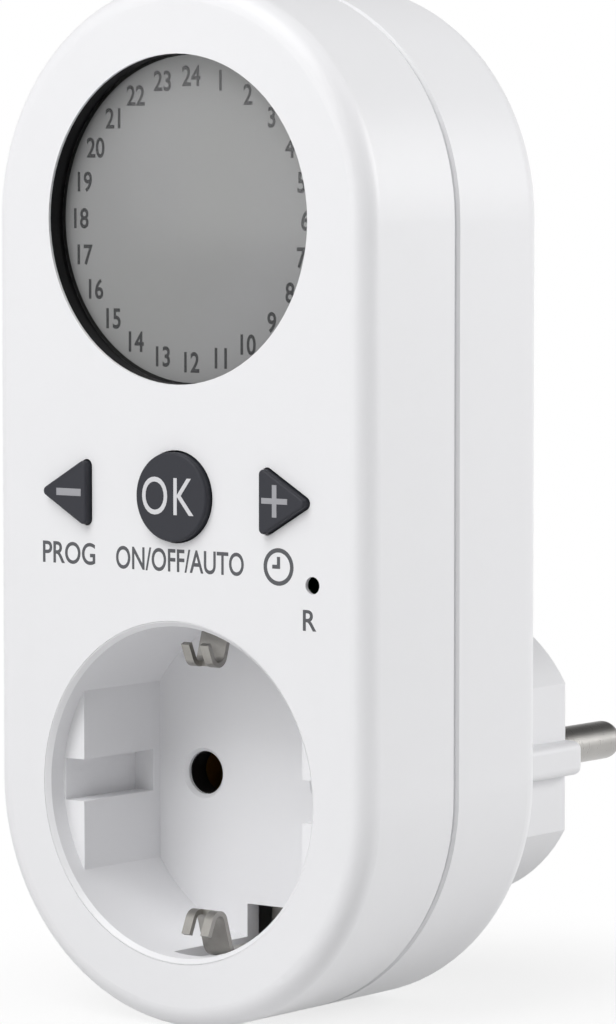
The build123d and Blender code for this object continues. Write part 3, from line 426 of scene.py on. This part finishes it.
# the pieces that have each finish
FINISHES = {
    white_abs: ("front_cover", "rear_cover", "socket_insert"),
    slate_soft_touch: ("minus_button", "ok_button", "plus_button"),
    black_abs: ("display_bezel",),
    acrylic_lens: ("display_lens",),
    lcd_film: ("lcd_cell",),
    zebra_silicone: ("zebra_strips",),
    black_nylon: (
        "minus_plunger",
        "ok_plunger",
        "plus_plunger",
        "reset_plunger",
        "switch_bodies",
        "link_headers",
    ),
    solder_mask: ("control_board", "power_board"),
    black_epoxy: ("controller_chip", "rectifier_diodes"),
    nickel_plated_steel: ("backup_cell", "clock_crystal"),
    relay_case: ("relay",),
    film_capacitor_box: ("film_capacitor",),
    capacitor_sleeve: ("electrolytic_capacitor",),
    varistor_coat: ("varistor",),
    phenolic: ("contact_carrier",),
    stamped_brass: (
        "neutral_contact",
        "live_contact",
        "neutral_busbar",
        "live_busbar",
        "link_pins",
    ),
    turned_nickel: ("neutral_pin", "live_pin"),
    tinned_steel: ("earth_strip_top", "earth_strip_bottom", "earth_bridge"),
}
for finish, node_names in FINISHES.items():
    material = finish()
    for node_name in node_names:
        NODES[node_name].data.materials[0] = material


# ================================================================ printing
INK_THICKNESS = 0.02 * MM
INK_SINK = 0.004 * MM  # the print's underside lies this far inside the surface that carries it
GLYPH_HALF_THICKNESS = 0.01  # of a glyph at its first size, 1 m
GLYPH_WELD = GLYPH_HALF_THICKNESS / 1000  # points of a glyph that are closer than this become one


def plain_mesh(carrier):
    """The evaluated mesh of a curve, text or modified object, which is then deleted."""
    SCENE.collection.objects.link(carrier)
    graph = bpy.context.evaluated_depsgraph_get()
    mesh = bpy.data.meshes.new_from_object(carrier.evaluated_get(graph))
    bpy.data.objects.remove(carrier)
    return mesh


def glyphs(text, spacing=1.0, weight=0.0, narrowing=1.0):
    """A line of lettering as a thin mesh in its own XY plane.

    The weight is what each stroke gains on each side, as a share of the lettering's size.
    """
    curve = bpy.data.curves.new("glyphs", "FONT")
    curve.body = text
    curve.space_character = spacing
    curve.bevel_depth = weight
    curve.bevel_resolution = 0
    curve.resolution_u = 6
    curve.extrude = GLYPH_HALF_THICKNESS
    mesh = plain_mesh(bpy.data.objects.new("glyphs", curve))
    mesh.transform(Matrix.Diagonal((narrowing, 1, 1, 1)))
    return mesh


def figure(*outlines):
    """Closed outlines filled as a thin mesh in its own XY plane; an outline inside another is a hole."""
    curve = bpy.data.curves.new("figure", "CURVE")
    curve.dimensions = "2D"
    curve.fill_mode = "BOTH"
    curve.extrude = GLYPH_HALF_THICKNESS
    for outline in outlines:
        spline = curve.splines.new("POLY")
        spline.points.add(len(outline) - 1)
        for point, (x, y) in zip(spline.points, outline):
            point.co = (x, y, 0, 1)
        spline.use_cyclic_u = True
    return plain_mesh(bpy.data.objects.new("figure", curve))


def circle(radius, steps=48):
    """Points of a circle."""
    return [(radius * cos(2 * pi * i / steps), radius * sin(2 * pi * i / steps)) for i in range(steps)]


def printed(name, marks, material, body):
    """Joins marks into one piece on the front.

    A mark is its flat mesh, the middle of its place on the surface, its height and its width.
    Without a width it keeps its proportions.
    """
    joined = bmesh.new()
    for mesh, place, height, width in marks:
        corners = [[pick(v.co[i] for v in mesh.vertices) for i in range(3)] for pick in (min, max)]
        low, high = map(Vector, corners)
        extent = high - low
        scale_y = height / extent.y
        scale_x = width / extent.x if width else scale_y
        to_middle = Matrix.Translation(-(low + high) / 2)
        to_size = Matrix.Diagonal((scale_x, scale_y, INK_THICKNESS / extent.z, 1))
        upright = Matrix.Rotation(pi / 2, 4, "X")
        proud = Vector((0, INK_SINK - INK_THICKNESS / 2, 0))
        glued = bmesh.new()
        glued.from_mesh(mesh)
        bmesh.ops.remove_doubles(glued, verts=glued.verts, dist=GLYPH_WELD)
        glued.transform(Matrix.Translation(place + proud) @ upright @ to_size @ to_middle)
        glued.to_mesh(mesh)
        glued.free()
        joined.from_mesh(mesh)
        bpy.data.meshes.remove(mesh)
    bmesh.ops.recalc_face_normals(joined, faces=joined.faces)
    result = bpy.data.meshes.new(name)
    joined.to_mesh(result)
    joined.free()
    result.materials.append(material)
    piece = bpy.data.objects.new(name, result)
    SCENE.collection.objects.link(piece)
    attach(piece, body)


def on_face(x, z):
    """A place on the front face, from millimetres."""
    return Vector((x * MM, FACE_Y, z * MM))


# labels under the keys; a size is a height and a width
PROG_PLACE = on_face(-16.1, 27.25)
PROG_SIZE = (2.6 * MM, 8.0 * MM)
SWITCHING_PLACE = on_face(0.5, 27.1)
SWITCHING_SIZE = (2.7 * MM, 18.9 * MM)
LABEL_WEIGHT = 0.013  # what the strokes gain, as glyphs() takes it

# letter of the reset hole
RESET_PLACE = on_face(19.4, 21.2)
RESET_HEIGHT = 2.4 * MM

# clock sign, its outlines drawn in mm
CLOCK_PLACE = on_face(14.96, 27.1)
CLOCK_RADIUS = 2.15
CLOCK_STROKE = 0.5
HAND_STROKE = 0.45
HAND_UP = 1.15
HAND_ASIDE = 0.9


def clock_sign():
    """A ring with two hands: one up, one to the left."""
    half = HAND_STROKE / 2
    hands = [
        (-HAND_ASIDE, -half),
        (half, -half),
        (half, HAND_UP),
        (-half, HAND_UP),
        (-half, half),
        (-HAND_ASIDE, half),
    ]
    return figure(circle(CLOCK_RADIUS), circle(CLOCK_RADIUS - CLOCK_STROKE), hands)


printed(
    "printed_labels",
    [
        (glyphs("PROG", weight=LABEL_WEIGHT), PROG_PLACE, *PROG_SIZE),
        (glyphs("ON/OFF/AUTO", weight=LABEL_WEIGHT), SWITCHING_PLACE, *SWITCHING_SIZE),
        (clock_sign(), CLOCK_PLACE, 2 * CLOCK_RADIUS * MM, None),
        (glyphs("R", weight=LABEL_WEIGHT), RESET_PLACE, RESET_HEIGHT, None),
    ],
    grey_ink(),
    "housing",
)

# signs on the keys; a shift leads from the middle of a key to its sign
MINUS_SHIFT = Vector((0.7, 0, 0)) * MM
OK_SHIFT = Vector((-0.4, 0, 0.1)) * MM
PLUS_SHIFT = Vector((-0.9, 0, 0.15)) * MM
OK_SIZE = (4.4 * MM, 7.6 * MM)
OK_SPACING = 1.12  # of its letters, 1 being the font's own

# minus and plus, their outlines drawn in mm
BAR_LENGTH = 3.7
BAR_STROKE = 0.85
CROSS_REACH = 1.85
CROSS_STROKE = 0.65


def bar_sign():
    """A minus sign."""
    x, y = BAR_LENGTH / 2, BAR_STROKE / 2
    return figure([(-x, -y), (x, -y), (x, y), (-x, y)])


def cross_sign():
    """A plus sign."""
    reach, half = CROSS_REACH, CROSS_STROKE / 2
    arm = [(half, -half), (reach, -half), (reach, half)]
    points = []
    for quarter in range(4):
        turn = Matrix.Rotation(quarter * pi / 2, 2)
        points += [tuple(turn @ Vector(point)) for point in arm]
    return figure(points)


printed(
    "minus_sign",
    [(bar_sign(), key_face("minus") + MINUS_SHIFT, BAR_STROKE * MM, None)],
    dim_ink(),
    "minus_key",
)
printed(
    "ok_sign",
    [(glyphs("OK", OK_SPACING), key_face("ok") + OK_SHIFT, *OK_SIZE)],
    pale_ink(),
    "ok_key",
)
printed(
    "plus_sign",
    [(cross_sign(), key_face("plus") + PLUS_SHIFT, 2 * CROSS_REACH * MM, None)],
    dim_ink(),
    "plus_key",
)

# the display's ring of hours
HOURS = 24
HOUR_HEIGHT = 2.4 * MM
HOUR_RING = 0.853 * DISPLAY_RADIUS  # radius of the ring on which the numerals stand
HOUR_NARROWING = 0.85  # width of the numerals as a share of the font's own
HOUR_WEIGHT = 0.02
DISPLAY_FACE = Vector((DISPLAY_CENTRE.x, DISPLAY_LOW.y, DISPLAY_CENTRE.z))


def hour_place(hour):
    """Middle of an hour's numeral: they run clockwise, with the last one at the top."""
    angle = 2 * pi * hour / HOURS
    return DISPLAY_FACE + Vector((sin(angle), 0, cos(angle))) * HOUR_RING


def numeral(hour):
    """Flat mesh of an hour's numeral."""
    return glyphs(str(hour), weight=HOUR_WEIGHT, narrowing=HOUR_NARROWING)


printed(
    "display_hours",
    [(numeral(hour), hour_place(hour), HOUR_HEIGHT, None) for hour in range(1, HOURS + 1)],
    lcd_segments(),
    "housing",
)

# a black ring of painted shade round the display's edge, where the bezel's shadow falls on it
BORDER_INNER = DISPLAY_RADIUS - 0.45 * MM
BORDER_OUTER = DISPLAY_RADIUS - 0.02 * MM
BORDER_STEPS = 96

printed(
    "display_edge_shade",
    [
        (
            figure(circle(BORDER_OUTER, BORDER_STEPS), circle(BORDER_INNER, BORDER_STEPS)),
            DISPLAY_FACE,
            2 * BORDER_OUTER,
            None,
        )
    ],
    border_ink(),
    "housing",
)

# ================================================================ screws
SCREW_SIZES = (
    "Core Radius",
    "Core Length",
    "Thread Height",
    "Thread Turns",
    "Thread Length",
    "Head Radius",
    "Head Height",
    "Head Fall",
    "Recess Reach",
    "Recess Floor",
)
RECESS_STEP = 0.03 * MM  # one blade of the cross recess ends this much higher than the other
BLADE_TIP = 0.3 * MM  # radius of a blade's lower end
BLADE_THINNESS = 0.24  # a blade's thickness as a share of its reach
HEAD_WELD = 0.01 * MM  # points of the cut head that are closer than this become one
SOLID_WELD = 0.001 * MM  # and points of a node's loose triangles
THREAD_FOOT = -1.1  # lower end of the thread from under the head, as a share of its length
CORE_SHARE = 0.78  # radius of the core, as a share of the shank's
RIDGE_SHARE = 0.2  # height of the thread, as a share of the shank's radius
THREADED_SHARE = 0.85  # length of the thread, as a share of the shank's
RECESS_REACH_SHARE = 1.05  # reach of the recess's blades, as a share of the head's radius
RECESS_FLOOR_SHARE = 0.3  # height of the recess's floor, as a share of the head's
CROWN_SHARE = 0.35  # fall of the head's top at its rim, as a share of its height


def screw_tree():
    """Cross-recessed pan-head screws, one on each point, each stopped at its own turn."""
    tree = bpy.data.node_groups.new("cross_recessed_screws", "GeometryNodeTree")
    tree.interface.new_socket("Seats", in_out="INPUT", socket_type="NodeSocketGeometry")
    for name in SCREW_SIZES:
        tree.interface.new_socket(name, in_out="INPUT", socket_type="NodeSocketFloat")
    tree.interface.new_socket("Head Direction", in_out="INPUT", socket_type="NodeSocketVector")
    tree.interface.new_socket("Finish", in_out="INPUT", socket_type="NodeSocketMaterial")
    tree.interface.new_socket("Screws", in_out="OUTPUT", socket_type="NodeSocketGeometry")
    size = add(tree, "NodeGroupInput").outputs
    # head: a disc whose top falls away from the middle
    disc = add(
        tree,
        "GeometryNodeMeshCylinder",
        {"Vertices": 32, "Fill Segments": 2, "Radius": size["Head Radius"], "Depth": size["Head Height"]},
    )
    half_height = add(tree, "ShaderNodeMath", {0: size["Head Height"], 1: 0.5}, operation="MULTIPLY")
    up = add(tree, "ShaderNodeCombineXYZ", {"Z": half_height.outputs[0]})
    seated = add(
        tree, "GeometryNodeTransform", {"Geometry": disc.outputs["Mesh"], "Translation": up.outputs[0]}
    )
    place = add(tree, "GeometryNodeInputPosition").outputs["Position"]
    flat = add(tree, "ShaderNodeVectorMath", {0: place, 1: (1, 1, 0)}, operation="MULTIPLY")
    square = add(
        tree, "ShaderNodeVectorMath", {0: flat.outputs[0], 1: flat.outputs[0]}, operation="DOT_PRODUCT"
    )
    fall = add(
        tree, "ShaderNodeMath", {0: square.outputs["Value"], 1: size["Head Fall"]}, operation="MULTIPLY"
    )
    height = add(tree, "ShaderNodeSeparateXYZ", {0: place}).outputs["Z"]
    is_top = add(
        tree, "ShaderNodeMath", {0: height, 1: half_height.outputs[0]}, operation="GREATER_THAN"
    )
    down = add(tree, "ShaderNodeCombineXYZ", {"Z": fall.outputs[0]})
    crowned = add(
        tree,
        "GeometryNodeSetPosition",
        {
            "Geometry": seated.outputs["Geometry"],
            "Selection": is_top.outputs[0],
            "Offset": down.outputs[0],
        },
    )
    # cross recess: two tapered blades cut out of the head
    wedge = add(
        tree,
        "GeometryNodeMeshCone",
        {
            "Vertices": 4,
            "Radius Top": size["Recess Reach"],
            "Radius Bottom": BLADE_TIP,
            "Depth": size["Head Height"],
        },
    )
    squared = add(
        tree, "GeometryNodeTransform", {"Geometry": wedge.outputs["Mesh"], "Rotation": (0, 0, pi / 4)}
    )
    head = add(tree, "GeometryNodeMeshBoolean", {0: crowned.outputs["Geometry"]}, operation="DIFFERENCE")
    for scale, step in (((1, BLADE_THINNESS, 1), 0.0), ((BLADE_THINNESS, 1, 1), RECESS_STEP)):
        floor_height = add(tree, "ShaderNodeMath", {0: size["Recess Floor"], 1: step}, operation="ADD")
        lift = add(tree, "ShaderNodeCombineXYZ", {"Z": floor_height.outputs[0]})
        blade = add(
            tree,
            "GeometryNodeTransform",
            {"Geometry": squared.outputs["Geometry"], "Translation": lift.outputs[0], "Scale": scale},
        )
        tree.links.new(blade.outputs["Geometry"], head.inputs["Mesh 2"])
    welded = add(
        tree,
        "GeometryNodeMergeByDistance",
        {"Geometry": head.outputs["Mesh"], "Distance": HEAD_WELD},
    )
    # shank: a core with a ridge wound round it
    core = add(
        tree,
        "GeometryNodeMeshCylinder",
        {"Vertices": 20, "Radius": size["Core Radius"], "Depth": size["Core Length"]},
    )
    half_core = add(tree, "ShaderNodeMath", {0: size["Core Length"], 1: -0.5}, operation="MULTIPLY")
    core_drop = add(tree, "ShaderNodeCombineXYZ", {"Z": half_core.outputs[0]})
    shank = add(
        tree,
        "GeometryNodeTransform",
        {"Geometry": core.outputs["Mesh"], "Translation": core_drop.outputs[0]},
    )
    helix = add(
        tree,
        "GeometryNodeCurveSpiral",
        {
            "Resolution": 20,
            "Rotations": size["Thread Turns"],
            "Start Radius": size["Core Radius"],
            "End Radius": size["Core Radius"],
            "Height": size["Thread Length"],
        },
    )
    level = add(tree, "GeometryNodeSetCurveNormal", {"Curve": helix.outputs["Curve"]}, mode="Z_UP")
    ridge = add(
        tree, "GeometryNodeCurvePrimitiveCircle", {"Resolution": 4, "Radius": size["Thread Height"]}
    )
    wound = add(
        tree,
        "GeometryNodeCurveToMesh",
        {
            "Curve": level.outputs["Curve"],
            "Profile Curve": ridge.outputs["Curve"],
            "Fill Caps": True,
        },
    )
    thread_foot = add(
        tree, "ShaderNodeMath", {0: size["Thread Length"], 1: THREAD_FOOT}, operation="MULTIPLY"
    )
    thread_drop = add(tree, "ShaderNodeCombineXYZ", {"Z": thread_foot.outputs[0]})
    thread = add(
        tree,
        "GeometryNodeTransform",
        {"Geometry": wound.outputs["Mesh"], "Translation": thread_drop.outputs[0]},
    )
    screw = add(tree, "GeometryNodeJoinGeometry")
    for part in (welded.outputs["Geometry"], shank.outputs["Geometry"], thread.outputs["Geometry"]):
        tree.links.new(part, screw.inputs["Geometry"])
    # one on each seat
    pointed = add(
        tree, "FunctionNodeAlignRotationToVector", {"Vector": size["Head Direction"]}, axis="Z"
    )
    chance = add(tree, "FunctionNodeRandomValue", {"Min": 0.0, "Max": pi, "Seed": 5}, data_type="FLOAT")
    spin = add(
        tree,
        "FunctionNodeAxisAngleToRotation",
        {"Axis": (0, 0, 1), "Angle": chance.outputs["Value"]},
    )
    stopped = add(
        tree,
        "FunctionNodeRotateRotation",
        {"Rotation": pointed.outputs["Rotation"], "Rotate By": spin.outputs["Rotation"]},
        rotation_space="LOCAL",
    )
    driven = add(
        tree,
        "GeometryNodeInstanceOnPoints",
        {
            "Points": size["Seats"],
            "Instance": screw.outputs["Geometry"],
            "Rotation": stopped.outputs["Rotation"],
        },
    )
    real = add(tree, "GeometryNodeRealizeInstances", {"Geometry": driven.outputs["Instances"]})
    finished = add(
        tree,
        "GeometryNodeSetMaterial",
        {"Geometry": real.outputs["Geometry"], "Material": size["Finish"]},
    )
    add(tree, "NodeGroupOutput", {"Screws": finished.outputs["Geometry"]})
    return tree


def solid_boxes(node):
    """Low and high corners of each separate solid of a node."""
    solids = bmesh.new()
    solids.from_mesh(NODES[node].data)
    bmesh.ops.remove_doubles(solids, verts=solids.verts, dist=SOLID_WELD)
    waiting = set(solids.verts)
    boxes = []
    while waiting:
        group = [waiting.pop()]
        for vertex in group:
            for edge in vertex.link_edges:
                other = edge.other_vert(vertex)
                if other in waiting:
                    waiting.remove(other)
                    group.append(other)
        boxes.append([[pick(v.co[i] for v in group) for i in range(3)] for pick in (min, max)])
    solids.free()
    return sorted(boxes)


def screws(name, node, *, head_height, shank_radius, pitch, head_side):
    """Screws in the places of a node's plain ones, with sizes in mm.

    The side of the heads is 1 where they face the back, and -1 where they face the front.
    """
    boxes = solid_boxes(node)
    low, high = boxes[0]
    end_y = high[1] if head_side > 0 else low[1]
    length = high[1] - low[1] - head_height * MM
    head_radius = (high[0] - low[0]) / 2
    seats = bpy.data.meshes.new(f"{name}_seats")
    seat_y = end_y - head_side * head_height * MM
    seats.from_pydata([((a[0] + b[0]) / 2, seat_y, (a[2] + b[2]) / 2) for a, b in boxes], [], [])
    carrier = bpy.data.objects.new(f"{name}_seats", seats)
    modifier = carrier.modifiers.new("screws", "NODES")
    modifier.node_group = SCREW_TREE
    values = {
        "Core Radius": CORE_SHARE * shank_radius * MM,
        "Core Length": length,
        "Thread Height": RIDGE_SHARE * shank_radius * MM,
        "Thread Turns": THREADED_SHARE * length / (pitch * MM),
        "Thread Length": THREADED_SHARE * length,
        "Head Radius": head_radius,
        "Head Height": head_height * MM,
        "Head Fall": -CROWN_SHARE * head_height * MM / head_radius**2,
        "Recess Reach": RECESS_REACH_SHARE * head_radius,
        "Recess Floor": RECESS_FLOOR_SHARE * head_height * MM,
        "Head Direction": (0, head_side, 0),
        "Finish": SCREW_FINISH,
    }
    for socket in SCREW_TREE.interface.items_tree:
        if socket.name in values:
            modifier[socket.identifier] = values[socket.name]
    piece = bpy.data.objects.new(name, plain_mesh(carrier))
    SCENE.collection.objects.link(piece)
    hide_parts(node)
    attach(piece, "housing")


SCREW_TREE = screw_tree()
SCREW_FINISH = zinc_plated_steel()
BOARD_SCREW = {"head_height": 1.2, "shank_radius": 1.0, "pitch": 0.9}
screws(
    "housing_screw_set", "housing_screws", head_height=1.8, shank_radius=1.4, pitch=1.3, head_side=1
)
screws("control_board_screw_set", "control_board_screws", head_side=1, **BOARD_SCREW)
screws("power_board_screw_set", "power_board_screws", head_side=-1, **BOARD_SCREW)

# ================================================================ camera
CAMERA_PLACE = Vector((359.8, -506.94, 73.5)) * MM
CAMERA_AZIMUTH = 37.14  # degrees
CAMERA_ELEVATION = 4.05
CAMERA_LENS = 175.5  # focal length in mm
CAMERA_SENSOR = 36.0  # the sensor's longer side in mm


def outwards(azimuth, elevation):
    """Direction away from the object: the azimuth turns from the front to the right, in degrees."""
    turn, rise = radians(azimuth), radians(elevation)
    return Vector((sin(turn) * cos(rise), -cos(turn) * cos(rise), sin(rise)))


def look_against(onlooker, direction):
    """Turns a camera or a lamp so that it looks against a direction."""
    onlooker.rotation_mode = "QUATERNION"
    onlooker.rotation_quaternion = (-direction).to_track_quat("-Z", "Y")


camera = bpy.data.objects.new("camera", bpy.data.cameras.new("camera"))
SCENE.collection.objects.link(camera)
camera.location = CAMERA_PLACE
look_against(camera, outwards(CAMERA_AZIMUTH, CAMERA_ELEVATION))
camera.data.lens = CAMERA_LENS
camera.data.sensor_width = CAMERA_SENSOR
camera.data.clip_start = 10 * MM
camera.data.clip_end = 20.0
SCENE.camera = camera

# ================================================================ light
SCENE.view_settings.view_transform = "Standard"
AMBIENT = 0.24  # strength of the light that comes from all round
CEILING = 0.1  # strength of the dim ceiling that metal and glass see
CEILING_START = 0.05  # sines of the elevations at which the ceiling begins
CEILING_FULL = 0.5  # and has all its dimness


def studio_world():
    """Even light from all round, which shows white; metal and glass also see a dim ceiling in it."""
    world = bpy.data.worlds.new("studio")
    world.use_nodes = True
    tree = world.node_tree
    tree.nodes.clear()
    path = add(tree, "ShaderNodeLightPath").outputs
    direction = add(tree, "ShaderNodeTexCoord").outputs["Generated"]
    upwards = add(tree, "ShaderNodeSeparateXYZ", {0: direction}).outputs["Z"]
    room = add(
        tree,
        "ShaderNodeMapRange",
        {
            "Value": upwards,
            "From Min": CEILING_START,
            "From Max": CEILING_FULL,
            "To Min": 1.0,
            "To Max": CEILING,
        },
    )
    even = add(
        tree,
        "ShaderNodeMix",
        {"Factor": path["Is Glossy Ray"], "A": AMBIENT, "B": room.outputs["Result"]},
    )
    seen = add(
        tree,
        "ShaderNodeMath",
        {0: path["Is Camera Ray"], 1: path["Is Transmission Ray"]},
        operation="MAXIMUM",
    )
    strength = add(
        tree, "ShaderNodeMix", {"Factor": seen.outputs[0], "A": even.outputs["Result"], "B": 1.0}
    )
    sky = add(
        tree,
        "ShaderNodeBackground",
        {"Color": (1, 1, 1, 1), "Strength": strength.outputs["Result"]},
    )
    add(tree, "ShaderNodeOutputWorld", {"Surface": sky.outputs["Background"]})
    return world


def lamp(name, *, azimuth, elevation, distance, size, power):
    """A square softbox that looks at the middle of the object; angles as for the camera."""
    light = bpy.data.lights.new(name, "AREA")
    light.size = size
    light.energy = power
    turned = bpy.data.objects.new(name, light)
    SCENE.collection.objects.link(turned)
    towards = outwards(azimuth, elevation)
    middle = (cad_box[0] + cad_box[1]) / 2
    turned.location = middle + towards * distance
    look_against(turned, towards)


# the sheet under the object
SHEET_FADE_START = 10 * MM  # distances from its middle between which it fades
SHEET_FADE_END = 70 * MM
SHEET_CLEARNESS = 0.76  # share of the background that shows through its middle


def white_floor():
    """A white sheet under the object that fades into the background away from it.

    It throws less light back at the object than it shows to the eye.
    """
    material, tree = new_material("white_paper_sweep")
    place = add(tree, "ShaderNodeTexCoord").outputs["Object"]
    away = add(tree, "ShaderNodeVectorMath", {0: place}, operation="LENGTH")
    fade = add(
        tree,
        "ShaderNodeMapRange",
        {
            "Value": away.outputs["Value"],
            "From Min": SHEET_FADE_START,
            "From Max": SHEET_FADE_END,
            "To Min": SHEET_CLEARNESS,
            "To Max": 1.0,
        },
        interpolation_type="SMOOTHSTEP",
    )
    path = add(tree, "ShaderNodeLightPath").outputs
    mirrored = add(
        tree,
        "ShaderNodeMath",
        {0: path["Is Glossy Ray"], 1: path["Is Transmission Ray"]},
        operation="MAXIMUM",
    )
    seen = add(
        tree, "ShaderNodeMath", {0: path["Is Camera Ray"], 1: mirrored.outputs[0]}, operation="MAXIMUM"
    )
    through = add(
        tree, "ShaderNodeMath", {0: fade.outputs["Result"], 1: seen.outputs[0]}, operation="MULTIPLY"
    )
    shade = add(
        tree,
        "ShaderNodeMix",
        {"Factor": seen.outputs[0], "A": linear("#D3D3D3"), "B": linear("#EDEDED")},
        data_type="RGBA",
    )
    paper = add(tree, "ShaderNodeBsdfDiffuse", {"Color": shade.outputs["Result"]})
    clear = add(tree, "ShaderNodeBsdfTransparent")
    mixed = add(
        tree,
        "ShaderNodeMixShader",
        {"Fac": through.outputs[0], 1: paper.outputs["BSDF"], 2: clear.outputs["BSDF"]},
    )
    add(tree, "ShaderNodeOutputMaterial", {"Surface": mixed.outputs["Shader"]})
    return material


SCENE.world = studio_world()
lamp("softbox_above", azimuth=-5, elevation=54, distance=0.8, size=0.55, power=4.1)
lamp("softbox_front", azimuth=-20, elevation=20, distance=0.8, size=0.55, power=1.65)
lamp("softbox_side", azimuth=125, elevation=20, distance=0.6, size=0.35, power=2.1)

FLOOR_REACH = 1.2
floor_mesh = bpy.data.meshes.new("floor")
floor_corners = [(x * FLOOR_REACH, y * FLOOR_REACH, 0) for x, y in ((-1, -1), (1, -1), (1, 1), (-1, 1))]
floor_mesh.from_pydata(floor_corners, [], [(0, 1, 2, 3)])
floor_mesh.materials.append(white_floor())
floor = bpy.data.objects.new("floor", floor_mesh)
floor.location = ((cad_box[0].x + cad_box[1].x) / 2, (cad_box[0].y + cad_box[1].y) / 2, FLOOR_Z)
SCENE.collection.objects.link(floor)
